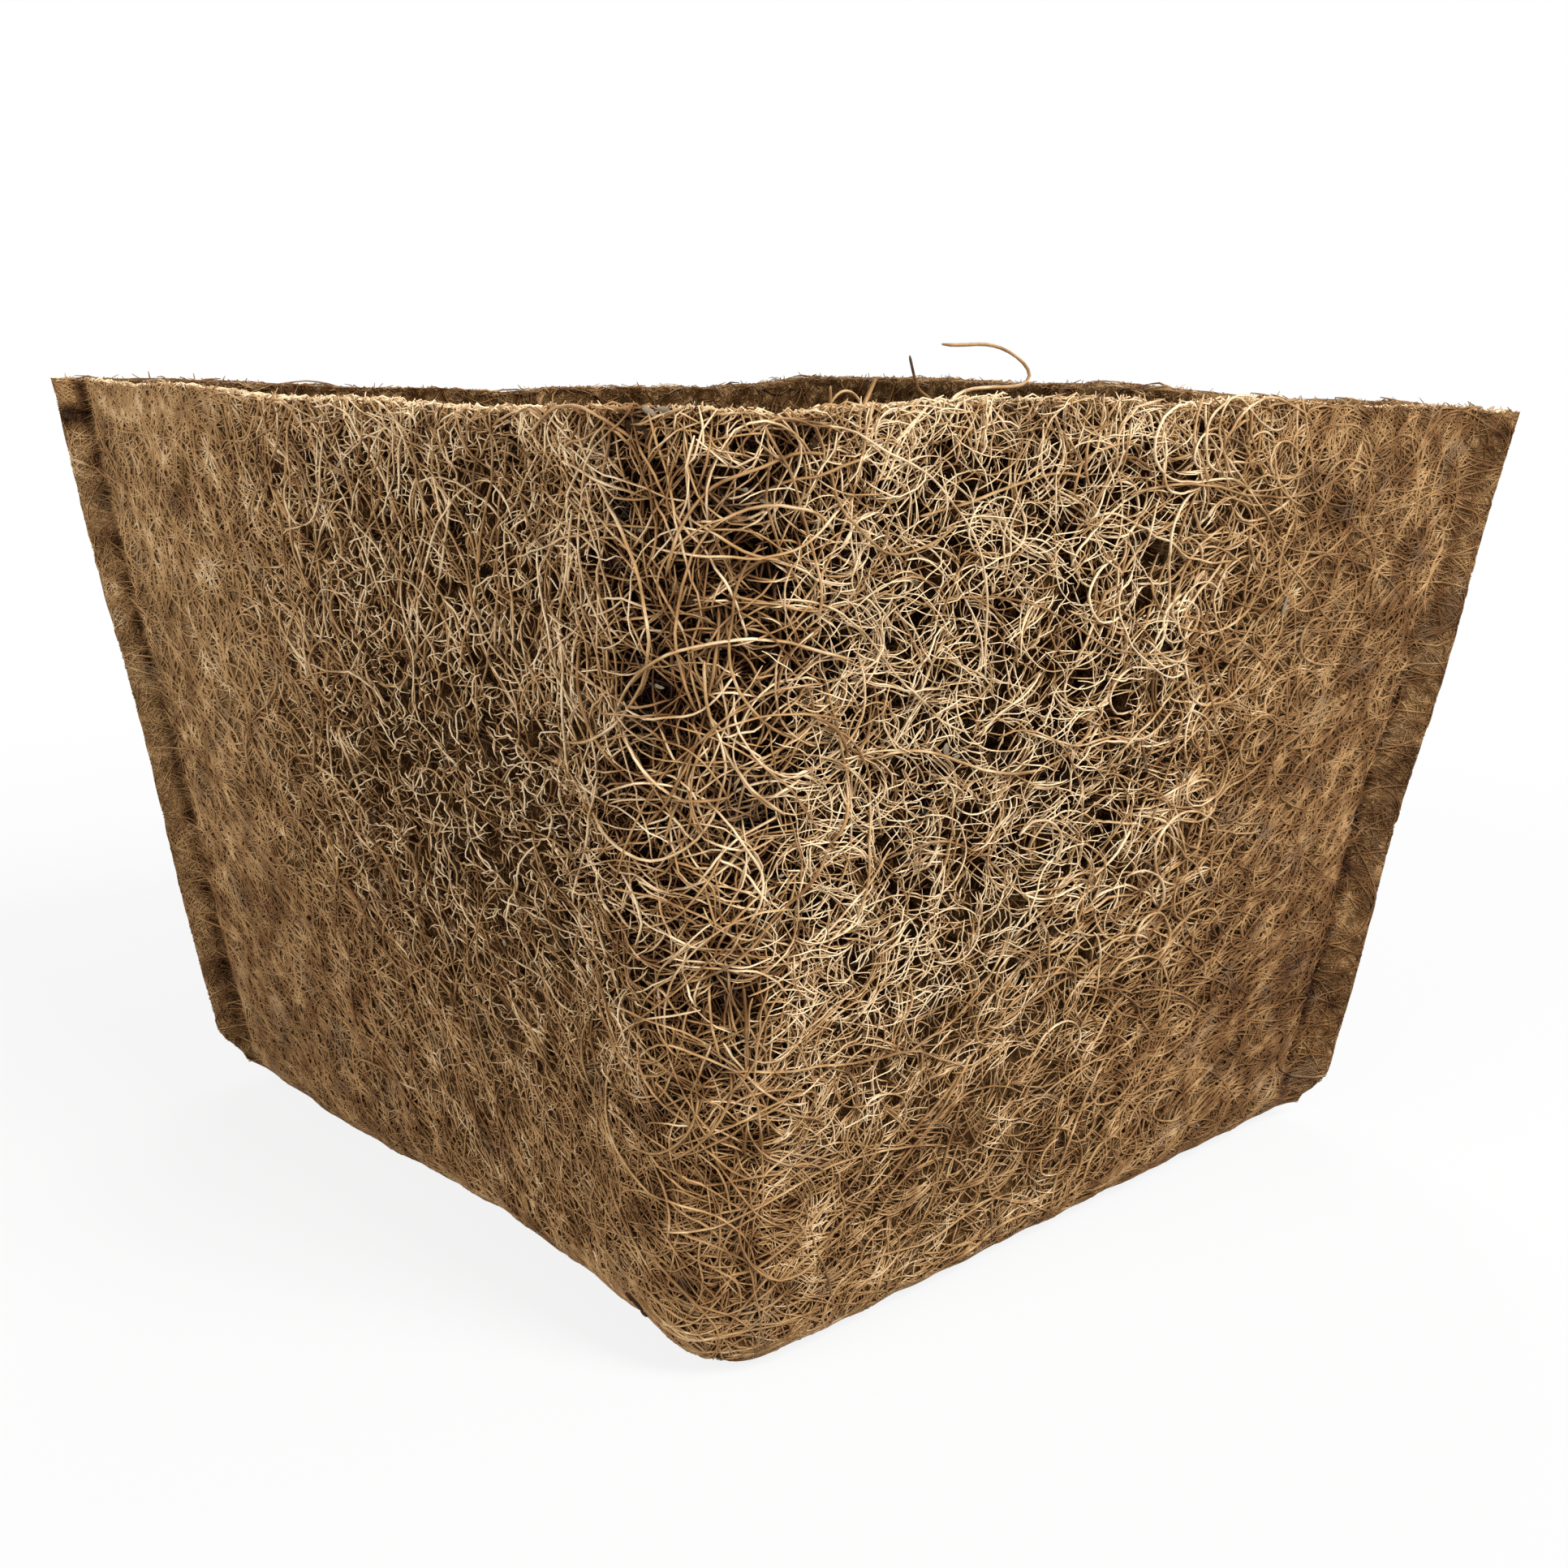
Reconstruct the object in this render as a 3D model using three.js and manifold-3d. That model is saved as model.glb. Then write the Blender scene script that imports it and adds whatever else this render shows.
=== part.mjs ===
// A square, tapered planting basket sewn from three pieces of latex-bonded coconut fibre mat.
// Two wall mats, alike, are each folded round one corner. They meet at the other two corners in sewn seams
// with their edges outward, and their lower edges turn in under a base mat that is sewn to them.
// Millimetres, +Z up. The origin is the middle of the underside, and the walls are parallel to X and Y.
// The front fold is at -X -Y, the right seam at +X -Y, the left seam at -X +Y and the rear fold at +X +Y.
import * as THREE from "three";
import { mergeVertices } from "three/addons/utils/BufferGeometryUtils.js";
import Module from "manifold-3d";

// Overall sizes, across the outer faces of the walls
const RIM_SIDE = 138;
const BASE_SIDE = 115;
const HEIGHT = 100;

// The mats
const MAT_THICKNESS = 5;
const FOLD_RADIUS = 15; // outside of the folded corners
const FOLD_STEPS = 8;
const LEAST_FOLD_RADIUS = 0.4; // where the hem runs into the fold's centre
const HEM_FOLD_RADIUS = 1.5; // inside of the fold between wall and hem
const HEM_FOLD_STEPS = 4;
const HEM_WIDTH = 14; // from the wall's outer face to the hem's cut edge
const BASE_MAT_THICKNESS = 5;
const BASE_MAT_BEVEL = 1.5; // pressed edge of the base mat
const BASE_MAT_SEAM_CORNER = 1.5; // radius of its corners at the seams
const FIT_GAP = 0.3; // between pieces that lie against each other

// The corner seams
const SEAM_ALLOWANCE = 4.5; // from the groove to the cut edge of the flange
const FLANGE_THICKNESS = 2.75; // one layer, pressed
const FLANGE_LOW = 3; // height of the flange's lower end
const FLANGE_TRIM = 4; // its lower corner is clipped
const FLANGE_ROOT = 1; // how far a flange layer is continued into its wall

// The sewing
const THREAD_DIAMETER = 0.8;
const THREAD_SIDES = 5;
const LIMB_GAP = 0.4; // between the two limbs of a stitch's loop in one hole
const SEAM_STITCH = 6; // from hole to hole
const SEAM_STITCH_INSET = 1.3; // from the groove to the stitch line
const SEAM_STITCH_LOW = 12; // height of the first hole
const SEAM_STITCH_TOP = 5; // from the rim to the last hole
const HEM_STITCH = 11;
const HEM_STITCH_INSET = 8.5; // from the wall's outer face at the underside to the stitch line
const HEM_STITCH_END = 9; // from the seam's diagonal to the first hole
const THREAD_TAIL = 2; // thread past the last hole

const COIR_BROWN = 0x8c6b43;
const COIR_SHADED = 0x7d5e3a;
const THREAD_BROWN = 0x4a3522;

const wasm = await Module();
wasm.setup();

// The wall leans out by this much for each millimetre of height.
const LEAN = (RIM_SIDE - BASE_SIDE) / 2 / HEIGHT;
const LEAN_ANGLE = Math.atan(LEAN);
const LEVEL_THICKNESS = MAT_THICKNESS / Math.cos(LEAN_ANGLE);
const THREAD_RADIUS = THREAD_DIAMETER / 2;
const LIMB_SPACING = THREAD_DIAMETER + LIMB_GAP;
const HOLE_WIDTH = THREAD_DIAMETER + 2 * FIT_GAP;
const HOLE_LENGTH = LIMB_SPACING + HOLE_WIDTH;
const THREAD_RISE = FIT_GAP + THREAD_RADIUS; // from a face to the middle of a thread that lies on it
const HEM_TOP = MAT_THICKNESS;
const BASE_MAT_LOW = HEM_TOP + FIT_GAP;
const BASE_MAT_TOP = BASE_MAT_LOW + BASE_MAT_THICKNESS;

const wallHalf = (z) => BASE_SIDE / 2 + LEAN * z;

// Booleans

function solidOf(geometry) {
  const bare = geometry.clone();
  bare.deleteAttribute("normal");
  bare.deleteAttribute("uv");
  const merged = mergeVertices(bare, 1e-4);
  const mesh = new wasm.Mesh({
    numProp: 3,
    vertProperties: new Float32Array(merged.attributes.position.array),
    triVerts: new Uint32Array(merged.index.array),
  });
  return new wasm.Manifold(mesh);
}

function geometryOf(solid) {
  const mesh = solid.getMesh();
  const geometry = new THREE.BufferGeometry();
  geometry.setAttribute("position", new THREE.BufferAttribute(new Float32Array(mesh.vertProperties), 3));
  geometry.setIndex(new THREE.BufferAttribute(new Uint32Array(mesh.triVerts), 1));
  return geometry;
}

function cutBy(solid, tools) {
  return tools.reduce((left, tool) => left.subtract(solidOf(tool)), solid);
}

// A closed skin over rings of points that all have the same count, with flat ends.
// The rings run anticlockwise as seen from the far end.
function skinOver(rings, endTriangles) {
  const count = rings[0].length;
  const positions = rings.flat().flatMap((p) => [p.x, p.y, p.z]);
  const faces = [];
  for (let i = 0; i + 1 < rings.length; i += 1) {
    for (let j = 0; j < count; j += 1) {
      const a = i * count + j;
      const b = i * count + ((j + 1) % count);
      faces.push(a, b, b + count, a, b + count, a + count);
    }
  }
  const last = (rings.length - 1) * count;
  for (const [a, b, c] of endTriangles) {
    faces.push(a, c, b);
    faces.push(last + a, last + b, last + c);
  }
  const geometry = new THREE.BufferGeometry();
  geometry.setAttribute("position", new THREE.Float32BufferAttribute(positions, 3));
  geometry.setIndex(faces);
  return geometry;
}

// Wall mats

// The mat's section, square to a wall: x is the distance from the basket's middle and z the height.
function wallSection() {
  const outer = HEM_FOLD_RADIUS + MAT_THICKNESS;
  const bendX = wallHalf(outer) - outer / Math.cos(LEAN_ANGLE);
  const hemX = BASE_SIDE / 2 - HEM_WIDTH;
  const arc = (radius, step) => {
    const turn = -Math.PI / 2 + ((Math.PI / 2 - LEAN_ANGLE) * step) / HEM_FOLD_STEPS;
    return new THREE.Vector2(bendX + radius * Math.cos(turn), outer + radius * Math.sin(turn));
  };
  const section = [new THREE.Vector2(hemX, 0)];
  for (let step = 0; step <= HEM_FOLD_STEPS; step += 1) {
    section.push(arc(outer, step));
  }
  section.push(new THREE.Vector2(wallHalf(HEIGHT), HEIGHT));
  section.push(new THREE.Vector2(wallHalf(HEIGHT) - LEVEL_THICKNESS, HEIGHT));
  for (let step = HEM_FOLD_STEPS; step >= 0; step -= 1) {
    section.push(arc(HEM_FOLD_RADIUS, step));
  }
  section.push(new THREE.Vector2(hemX, HEM_TOP));
  return section;
}

// The section carried from the right seam round the front fold to the left seam, mitred at both seams.
function foldedWall() {
  const section = wallSection();
  const mitre = FIT_GAP / 2 * Math.SQRT2;
  const rings = [];
  rings.push(section.map((p) => new THREE.Vector3(p.x - mitre, -p.x, p.y)));
  for (let step = 0; step <= FOLD_STEPS; step += 1) {
    const turn = -Math.PI / 2 - (Math.PI / 2) * (step / FOLD_STEPS);
    rings.push(section.map((p) => {
      const radius = Math.max(FOLD_RADIUS - (wallHalf(p.y) - p.x), LEAST_FOLD_RADIUS);
      const centre = radius - p.x;
      return new THREE.Vector3(centre + radius * Math.cos(turn), centre + radius * Math.sin(turn), p.y);
    }));
  }
  rings.push(section.map((p) => new THREE.Vector3(-p.x, p.x - mitre, p.y)));
  return skinOver(rings, THREE.ShapeUtils.triangulateShape(section, []));
}

// A corner seam's own axes: out along the diagonal, up along the leaning corner, and across to the front.
function seamFrame(side) {
  const out = new THREE.Vector3(side, -side, 0).normalize();
  const up = new THREE.Vector3(side * LEAN, -side * LEAN, 1).normalize();
  const across = new THREE.Vector3(-1, -1, 0).normalize();
  const place = (outward, z, forward) => new THREE.Vector3(side * wallHalf(z), -side * wallHalf(z), z)
    .addScaledVector(out, outward)
    .addScaledVector(across, forward);
  return { out, up, across, place };
}

const RIGHT_SEAM = seamFrame(1);
const LEFT_SEAM = seamFrame(-1);
const GROOVE = -FLANGE_THICKNESS; // the wall's face turns into the flange's here, on the outward axis
const FLANGE_TIP = GROOVE + SEAM_ALLOWANCE;

// One pressed layer of a seam, on the front side of the diagonal
function flange(seam) {
  const root = GROOVE - FLANGE_ROOT;
  const outline = new THREE.Shape([
    new THREE.Vector2(root, FLANGE_LOW),
    new THREE.Vector2(FLANGE_TIP - FLANGE_TRIM, FLANGE_LOW),
    new THREE.Vector2(FLANGE_TIP, FLANGE_LOW + FLANGE_TRIM),
    new THREE.Vector2(FLANGE_TIP, HEIGHT),
    new THREE.Vector2(root, HEIGHT),
  ]);
  const near = FIT_GAP / 2;
  const slab = new THREE.ExtrudeGeometry(outline, { depth: FLANGE_THICKNESS - near, bevelEnabled: false });
  const points = slab.attributes.position;
  for (let i = 0; i < points.count; i += 1) {
    const p = seam.place(points.getX(i), points.getY(i), points.getZ(i) + near);
    points.setXYZ(i, p.x, p.y, p.z);
  }
  if (seam === LEFT_SEAM) {
    turnFacesRound(slab);
  }
  return slab;
}

// The left seam's axes are the right seam's in a mirror, which turns the faces inside out.
function turnFacesRound(geometry) {
  const points = geometry.attributes.position;
  const a = new THREE.Vector3();
  const b = new THREE.Vector3();
  for (let i = 0; i < points.count; i += 3) {
    a.fromBufferAttribute(points, i + 1);
    b.fromBufferAttribute(points, i + 2);
    points.setXYZ(i + 1, b.x, b.y, b.z);
    points.setXYZ(i + 2, a.x, a.y, a.z);
  }
}

// Stitch lines

// Equal stitches over a length, none longer than the stitch asked for
function evenStops(from, to, stitch) {
  const count = Math.ceil((to - from) / stitch);
  return Array.from({ length: count + 1 }, (_, i) => from + ((to - from) * i) / count);
}

const STITCH_OUT = GROOVE + SEAM_STITCH_INSET;

function seamStops(seam) {
  const climb = seam.up.z;
  return evenStops(SEAM_STITCH_LOW / climb, (HEIGHT - SEAM_STITCH_TOP) / climb, SEAM_STITCH);
}

function seamPoint(seam) {
  return (along, forward) => seam.place(STITCH_OUT, along * seam.up.z, forward);
}

// The hem's stitch line seen from above: along one wall, round the fold and along the other
function hemLine() {
  const half = BASE_SIDE / 2 - HEM_STITCH_INSET;
  const radius = Math.max(FOLD_RADIUS - HEM_STITCH_INSET, LEAST_FOLD_RADIUS);
  const run = 2 * half - radius;
  const bend = (Math.PI / 2) * radius;
  const length = 2 * run + bend;
  const place = (along) => {
    if (along <= run) {
      return { x: half - along, y: -half, heading: Math.PI };
    }
    if (along >= run + bend) {
      return { x: -half, y: radius - half + along - run - bend, heading: Math.PI / 2 };
    }
    const turn = -Math.PI / 2 - (along - run) / radius;
    const centre = radius - half;
    return {
      x: centre + radius * Math.cos(turn),
      y: centre + radius * Math.sin(turn),
      heading: turn - Math.PI / 2,
    };
  };
  return { length, place };
}

const HEM_LINE = hemLine();
const HEM_STOPS = evenStops(HEM_STITCH_END, HEM_LINE.length - HEM_STITCH_END, HEM_STITCH);

// A box with its length, width and depth along three given axes
function boxAlong(size, middle, axes) {
  const box = new THREE.BoxGeometry(size.x, size.y, size.z);
  const frame = new THREE.Matrix4().makeBasis(...axes);
  return box.applyMatrix4(frame.setPosition(middle));
}

function seamHoles(seam) {
  const depth = 2 * (FLANGE_THICKNESS + THREAD_DIAMETER);
  const size = new THREE.Vector3(HOLE_LENGTH, HOLE_WIDTH, depth);
  const across = seam.across;
  const axes = [seam.up, across.clone().cross(seam.up), across];
  return seamStops(seam).map((along) => boxAlong(size, seamPoint(seam)(along, 0), axes));
}

const headingAxes = (heading) => [
  new THREE.Vector3(Math.cos(heading), Math.sin(heading), 0),
  new THREE.Vector3(-Math.sin(heading), Math.cos(heading), 0),
  new THREE.Vector3(0, 0, 1),
];

function hemHoles() {
  const depth = BASE_MAT_TOP + 2 * THREAD_DIAMETER;
  const size = new THREE.Vector3(HOLE_LENGTH, HOLE_WIDTH, depth);
  return HEM_STOPS.map((along) => {
    const at = HEM_LINE.place(along);
    return boxAlong(size, new THREE.Vector3(at.x, at.y, BASE_MAT_TOP / 2), headingAxes(at.heading));
  });
}

// The stitches on the underside lie in a groove, so that the basket stands on its hem.
// Each stretch of it runs straight from a limb of one hole to the nearest limb of the next, as the thread does.
const HEM_GROOVE_DEPTH = 2 * FIT_GAP + THREAD_DIAMETER;

function hemGroove() {
  const half = LIMB_SPACING / 2;
  const tail = half + THREAD_TAIL + FIT_GAP;
  const starts = [HEM_STOPS[0] - tail, ...HEM_STOPS.map((along) => along + half)];
  const ends = [...HEM_STOPS.map((along) => along - half), HEM_STOPS.at(-1) + tail];
  return starts.map((along, i) => {
    const from = HEM_LINE.place(along);
    const to = HEM_LINE.place(ends[i]);
    const heading = Math.atan2(to.y - from.y, to.x - from.x);
    const length = Math.hypot(to.x - from.x, to.y - from.y) + HOLE_WIDTH;
    const size = new THREE.Vector3(length, HOLE_WIDTH, 2 * HEM_GROOVE_DEPTH);
    const middle = new THREE.Vector3((from.x + to.x) / 2, (from.y + to.y) / 2, 0);
    return boxAlong(size, middle, headingAxes(heading));
  });
}

function wallMat() {
  const body = solidOf(foldedWall()).add(solidOf(flange(RIGHT_SEAM))).add(solidOf(flange(LEFT_SEAM)));
  const holes = [...seamHoles(RIGHT_SEAM), ...seamHoles(LEFT_SEAM), ...hemHoles(), ...hemGroove()];
  return geometryOf(cutBy(body, holes));
}

// Base mat

function baseOutline(inset) {
  const low = BASE_MAT_LOW + BASE_MAT_BEVEL;
  const half = wallHalf(low) - LEVEL_THICKNESS - FIT_GAP - inset;
  const fold = Math.max(FOLD_RADIUS - LEVEL_THICKNESS - FIT_GAP - inset, LEAST_FOLD_RADIUS);
  const seam = BASE_MAT_SEAM_CORNER;
  const quarter = Math.PI / 2;
  const outline = new THREE.Shape();
  outline.absarc(half - seam, seam - half, seam, -quarter, 0);
  outline.absarc(half - fold, half - fold, fold, 0, quarter);
  outline.absarc(seam - half, half - seam, seam, quarter, 2 * quarter);
  outline.absarc(fold - half, fold - half, fold, 2 * quarter, 3 * quarter);
  return outline;
}

function baseMat() {
  const plate = new THREE.ExtrudeGeometry(baseOutline(BASE_MAT_BEVEL), {
    depth: BASE_MAT_THICKNESS - 2 * BASE_MAT_BEVEL,
    bevelThickness: BASE_MAT_BEVEL,
    bevelSize: BASE_MAT_BEVEL,
    bevelSegments: 1,
    curveSegments: FOLD_STEPS,
  });
  plate.translate(0, 0, BASE_MAT_LOW + BASE_MAT_BEVEL);
  const frontHoles = hemHoles();
  const rearHoles = hemHoles().map((hole) => hole.rotateZ(Math.PI));
  return geometryOf(cutBy(solidOf(plate), [...frontHoles, ...rearHoles]));
}

// Threads

// The path of one thread of a lockstitch: it lies along a face and dips a loop into each hole.
// x is the distance along the stitch line and y the distance from where the two threads meet.
function stitchPath(stops, rise, dip) {
  const half = LIMB_SPACING / 2;
  const path = [new THREE.Vector2(stops[0] - half - THREAD_TAIL, rise)];
  for (const along of stops) {
    path.push(new THREE.Vector2(along - half, rise));
    path.push(new THREE.Vector2(along - half, dip));
    path.push(new THREE.Vector2(along + half, dip));
    path.push(new THREE.Vector2(along + half, rise));
  }
  path.push(new THREE.Vector2(stops.at(-1) + half + THREAD_TAIL, rise));
  return path;
}

// A round thread with mitred turns. Each point of the path gives its place and the three axes there.
function threadAlong(path, frameAt) {
  const rings = path.map((p, i) => {
    const before = p.clone().sub(path[Math.max(i - 1, 0)]);
    const after = path[Math.min(i + 1, path.length - 1)].clone().sub(p);
    const way = before.normalize().clone().add(after.normalize()).normalize();
    const straight = before.lengthSq() > 0 ? before : after;
    const stretch = 1 / way.dot(straight);
    const normal = new THREE.Vector2(-way.y, way.x).multiplyScalar(stretch);
    const { place, along, across, side } = frameAt(p);
    return Array.from({ length: THREAD_SIDES }, (_, k) => {
      const turn = (2 * Math.PI * k) / THREAD_SIDES;
      const inPlane = THREAD_RADIUS * Math.cos(turn);
      return place.clone()
        .addScaledVector(along, inPlane * normal.x)
        .addScaledVector(across, inPlane * normal.y)
        .addScaledVector(side, THREAD_RADIUS * Math.sin(turn));
    });
  });
  const fan = Array.from({ length: THREAD_SIDES - 2 }, (_, k) => [0, k + 1, k + 2]);
  return skinOver(rings, fan);
}

// The threads of a corner seam. The needle thread is on the front side and the bobbin thread on the rear side.
function seamThread(seam, facing) {
  const rise = FLANGE_THICKNESS + THREAD_RISE;
  const dip = FIT_GAP / 2 + THREAD_RADIUS;
  const path = stitchPath(seamStops(seam), rise, dip);
  const across = seam.across.clone().multiplyScalar(facing);
  const side = seam.up.clone().cross(across);
  const point = seamPoint(seam);
  return threadAlong(path, (p) => ({ place: point(p.x, facing * p.y), along: seam.up, across, side }));
}

// The threads of the front hem. The needle thread is on the floor inside and the bobbin thread underneath.
const HEM_MEETING = HEM_TOP + FIT_GAP / 2;

function hemThread(facing) {
  const face = facing > 0 ? BASE_MAT_TOP + THREAD_RISE : THREAD_RISE;
  const rise = Math.abs(face - HEM_MEETING);
  const dip = FIT_GAP / 2 + THREAD_RADIUS;
  const across = new THREE.Vector3(0, 0, facing);
  return threadAlong(stitchPath(HEM_STOPS, rise, dip), (p) => {
    const at = HEM_LINE.place(p.x);
    const along = headingAxes(at.heading)[0];
    const place = new THREE.Vector3(at.x, at.y, HEM_MEETING + facing * p.y);
    return { place, along, across, side: along.clone().cross(across) };
  });
}

// The basket

function piece(name, geometry, color, turned = false) {
  const material = new THREE.MeshStandardMaterial({ color, roughness: 0.95, metalness: 0 });
  const mesh = new THREE.Mesh(geometry, material);
  mesh.name = name;
  mesh.rotation.z = turned ? Math.PI : 0;
  return mesh;
}

const NEEDLE = 1;
const BOBBIN = -1;
const wall = wallMat();
const hemNeedle = hemThread(NEEDLE);
const hemBobbin = hemThread(BOBBIN);

const basket = new THREE.Group();
basket.add(piece("front_wall_mat", wall, COIR_BROWN));
basket.add(piece("rear_wall_mat", wall, COIR_BROWN, true));
basket.add(piece("base_mat", baseMat(), COIR_SHADED));
basket.add(piece("left_seam_needle_thread", seamThread(LEFT_SEAM, NEEDLE), THREAD_BROWN));
basket.add(piece("left_seam_bobbin_thread", seamThread(LEFT_SEAM, BOBBIN), THREAD_BROWN));
basket.add(piece("right_seam_needle_thread", seamThread(RIGHT_SEAM, NEEDLE), THREAD_BROWN));
basket.add(piece("right_seam_bobbin_thread", seamThread(RIGHT_SEAM, BOBBIN), THREAD_BROWN));
basket.add(piece("front_hem_needle_thread", hemNeedle, THREAD_BROWN));
basket.add(piece("front_hem_bobbin_thread", hemBobbin, THREAD_BROWN));
basket.add(piece("rear_hem_needle_thread", hemNeedle, THREAD_BROWN, true));
basket.add(piece("rear_hem_bobbin_thread", hemBobbin, THREAD_BROWN, true));

export default basket;
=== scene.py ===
# %% [markdown]
# # A sewn coir pond basket
# The basket is made of three mats of coconut fibre bonded with latex. Two wall mats are each folded round
# one corner and sewn to each other at the other two, and a base mat lies on their turned-in hems. The
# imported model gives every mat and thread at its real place, so this lesson only gives them their looks.

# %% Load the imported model
import math
from dataclasses import dataclass, replace

import bpy
import numpy as np
from mathutils import Matrix, Vector


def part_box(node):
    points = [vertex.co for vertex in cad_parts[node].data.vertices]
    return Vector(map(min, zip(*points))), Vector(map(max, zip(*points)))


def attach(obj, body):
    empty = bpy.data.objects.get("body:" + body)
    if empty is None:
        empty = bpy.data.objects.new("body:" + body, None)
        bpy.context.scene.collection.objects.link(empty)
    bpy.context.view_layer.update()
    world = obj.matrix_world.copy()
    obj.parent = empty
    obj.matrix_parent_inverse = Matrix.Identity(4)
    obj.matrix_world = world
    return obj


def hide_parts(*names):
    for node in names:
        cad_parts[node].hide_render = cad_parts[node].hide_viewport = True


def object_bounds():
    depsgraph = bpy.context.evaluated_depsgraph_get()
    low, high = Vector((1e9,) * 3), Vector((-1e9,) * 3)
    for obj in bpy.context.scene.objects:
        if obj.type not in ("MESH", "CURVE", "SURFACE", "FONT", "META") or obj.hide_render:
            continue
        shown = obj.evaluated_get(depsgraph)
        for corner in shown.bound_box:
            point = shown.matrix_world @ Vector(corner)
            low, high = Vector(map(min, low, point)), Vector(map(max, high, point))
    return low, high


MM = 0.001
BODY = "root"


def mm(*sizes):
    return tuple(size * MM for size in sizes)


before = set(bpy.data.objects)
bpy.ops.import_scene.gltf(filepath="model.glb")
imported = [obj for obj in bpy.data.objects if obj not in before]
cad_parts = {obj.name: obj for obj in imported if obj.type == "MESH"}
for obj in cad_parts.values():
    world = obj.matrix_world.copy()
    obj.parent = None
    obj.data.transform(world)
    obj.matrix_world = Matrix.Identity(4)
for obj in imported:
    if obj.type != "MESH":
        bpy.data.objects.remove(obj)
cad_low, cad_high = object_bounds()
print("nodes", sorted(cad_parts))
print("box in mm", [round(side / MM, 1) for side in cad_high - cad_low])

# %% [markdown]
# ## The camera
# The basket is seen from close by, a little above its rim and with the front fold towards the viewer,
# which gives the strong perspective. The lens and place were found by fitting the corners of the basket.

# %% Camera
IMAGE_SIDE = 1932
FOCAL_PIXELS = 2153
SENSOR_WIDTH = 36.0
CAMERA_PLACE = Vector((-158.5, -182.7, 103.9)) * MM
CAMERA_HEADING = math.radians(41.6)
CAMERA_DIP = math.radians(13.19)
CAMERA_ROLL = math.radians(0.88)
NEAREST_SEEN = 10 * MM


def camera_axes():
    """The camera's right, up and back directions."""
    level = Vector((math.sin(CAMERA_HEADING), math.cos(CAMERA_HEADING), 0))
    forward = level * math.cos(CAMERA_DIP) - Vector((0, 0, math.sin(CAMERA_DIP)))
    right = Vector((math.cos(CAMERA_HEADING), -math.sin(CAMERA_HEADING), 0))
    up = right.cross(forward)
    turn = Matrix.Rotation(-CAMERA_ROLL, 3, forward)
    return turn @ right, turn @ up, -forward


bpy.ops.object.camera_add(location=CAMERA_PLACE)
camera = bpy.context.object
camera.data.sensor_width = SENSOR_WIDTH
camera.data.lens = SENSOR_WIDTH * FOCAL_PIXELS / IMAGE_SIDE
camera.data.clip_start = NEAREST_SEEN
camera.rotation_mode = "QUATERNION"
camera.rotation_quaternion = Matrix(camera_axes()).transposed().to_quaternion()
bpy.context.scene.camera = camera
print("lens", round(camera.data.lens, 2), "mm")

# %% [markdown]
# ## Light and floor
# Loose fibres show their depth by the shadows between them. One broad lamp high on the right gives those
# shadows, weaker ones on the left and behind keep the other walls readable, and the world fills in. What
# the camera sees past the object is plain white, but the light that reaches the object is not raised by
# it. Close to the basket the floor keeps its shadow, and further away it fades into the white.

# %% World light
WORLD_LIGHT = 0.18
WHITE = (1, 1, 1, 1)


def math_of(tree, operation, a, b=None, value=0.0):
    """A Math node of one or two sockets; value stands in for a second socket."""
    node = tree.nodes.new("ShaderNodeMath")
    node.operation = operation
    tree.links.new(a, node.inputs[0])
    if b is None:
        node.inputs[1].default_value = value
    else:
        tree.links.new(b, node.inputs[1])
    return node.outputs[0]


def show_mix(tree, output, share, plain, white):
    """Ends a node tree in a mix of two shaders, by the share of the second."""
    mix = tree.nodes.new("ShaderNodeMixShader")
    out = tree.nodes.new(output)
    tree.links.new(share, mix.inputs["Fac"])
    tree.links.new(plain.outputs[0], mix.inputs[1])
    tree.links.new(white.outputs[0], mix.inputs[2])
    tree.links.new(mix.outputs[0], out.inputs["Surface"])


def seen_straight(tree):
    """A socket that is 1 for rays that show the background itself: camera, mirror and glass rays."""
    path = tree.nodes.new("ShaderNodeLightPath")
    seen = math_of(tree, "MAXIMUM", path.outputs["Is Camera Ray"], path.outputs["Is Glossy Ray"])
    return math_of(tree, "MAXIMUM", seen, path.outputs["Is Transmission Ray"])


def light_world():
    world = bpy.data.worlds.new("studio")
    world.use_nodes = True
    tree = world.node_tree
    tree.nodes.clear()
    fill = tree.nodes.new("ShaderNodeBackground")
    fill.inputs["Color"].default_value = WHITE
    fill.inputs["Strength"].default_value = WORLD_LIGHT
    white = tree.nodes.new("ShaderNodeBackground")
    white.inputs["Color"].default_value = WHITE
    show_mix(tree, "ShaderNodeOutputWorld", seen_straight(tree), fill, white)
    bpy.context.scene.world = world


light_world()
print("light from the world", WORLD_LIGHT)

# %% Floor
FLOOR_SIDE = 4.0
FLOOR_DROP = 0.2 * MM
FLOOR_WHITE = 0.6
FLOOR_SEEN_WHITE = 0.85
FADE_START = 0.07
FADE_END = 0.4


def range_of(tree, value, low, high, at_low, at_high):
    """A smooth step from one value to another."""
    node = tree.nodes.new("ShaderNodeMapRange")
    node.interpolation_type = "SMOOTHSTEP"
    node.inputs["From Min"].default_value = low
    node.inputs["From Max"].default_value = high
    node.inputs["To Min"].default_value = at_low
    node.inputs["To Max"].default_value = at_high
    tree.links.new(value, node.inputs["Value"])
    return node.outputs["Result"]


def white_share(tree):
    """How much of the seen floor is plain white: more with the distance from the basket."""
    place = tree.nodes.new("ShaderNodeTexCoord")
    length = tree.nodes.new("ShaderNodeVectorMath")
    length.operation = "LENGTH"
    tree.links.new(place.outputs["Object"], length.inputs[0])
    fade = range_of(tree, length.outputs["Value"], FADE_START, FADE_END, FLOOR_SEEN_WHITE, 1)
    return math_of(tree, "MULTIPLY", seen_straight(tree), fade)


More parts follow.
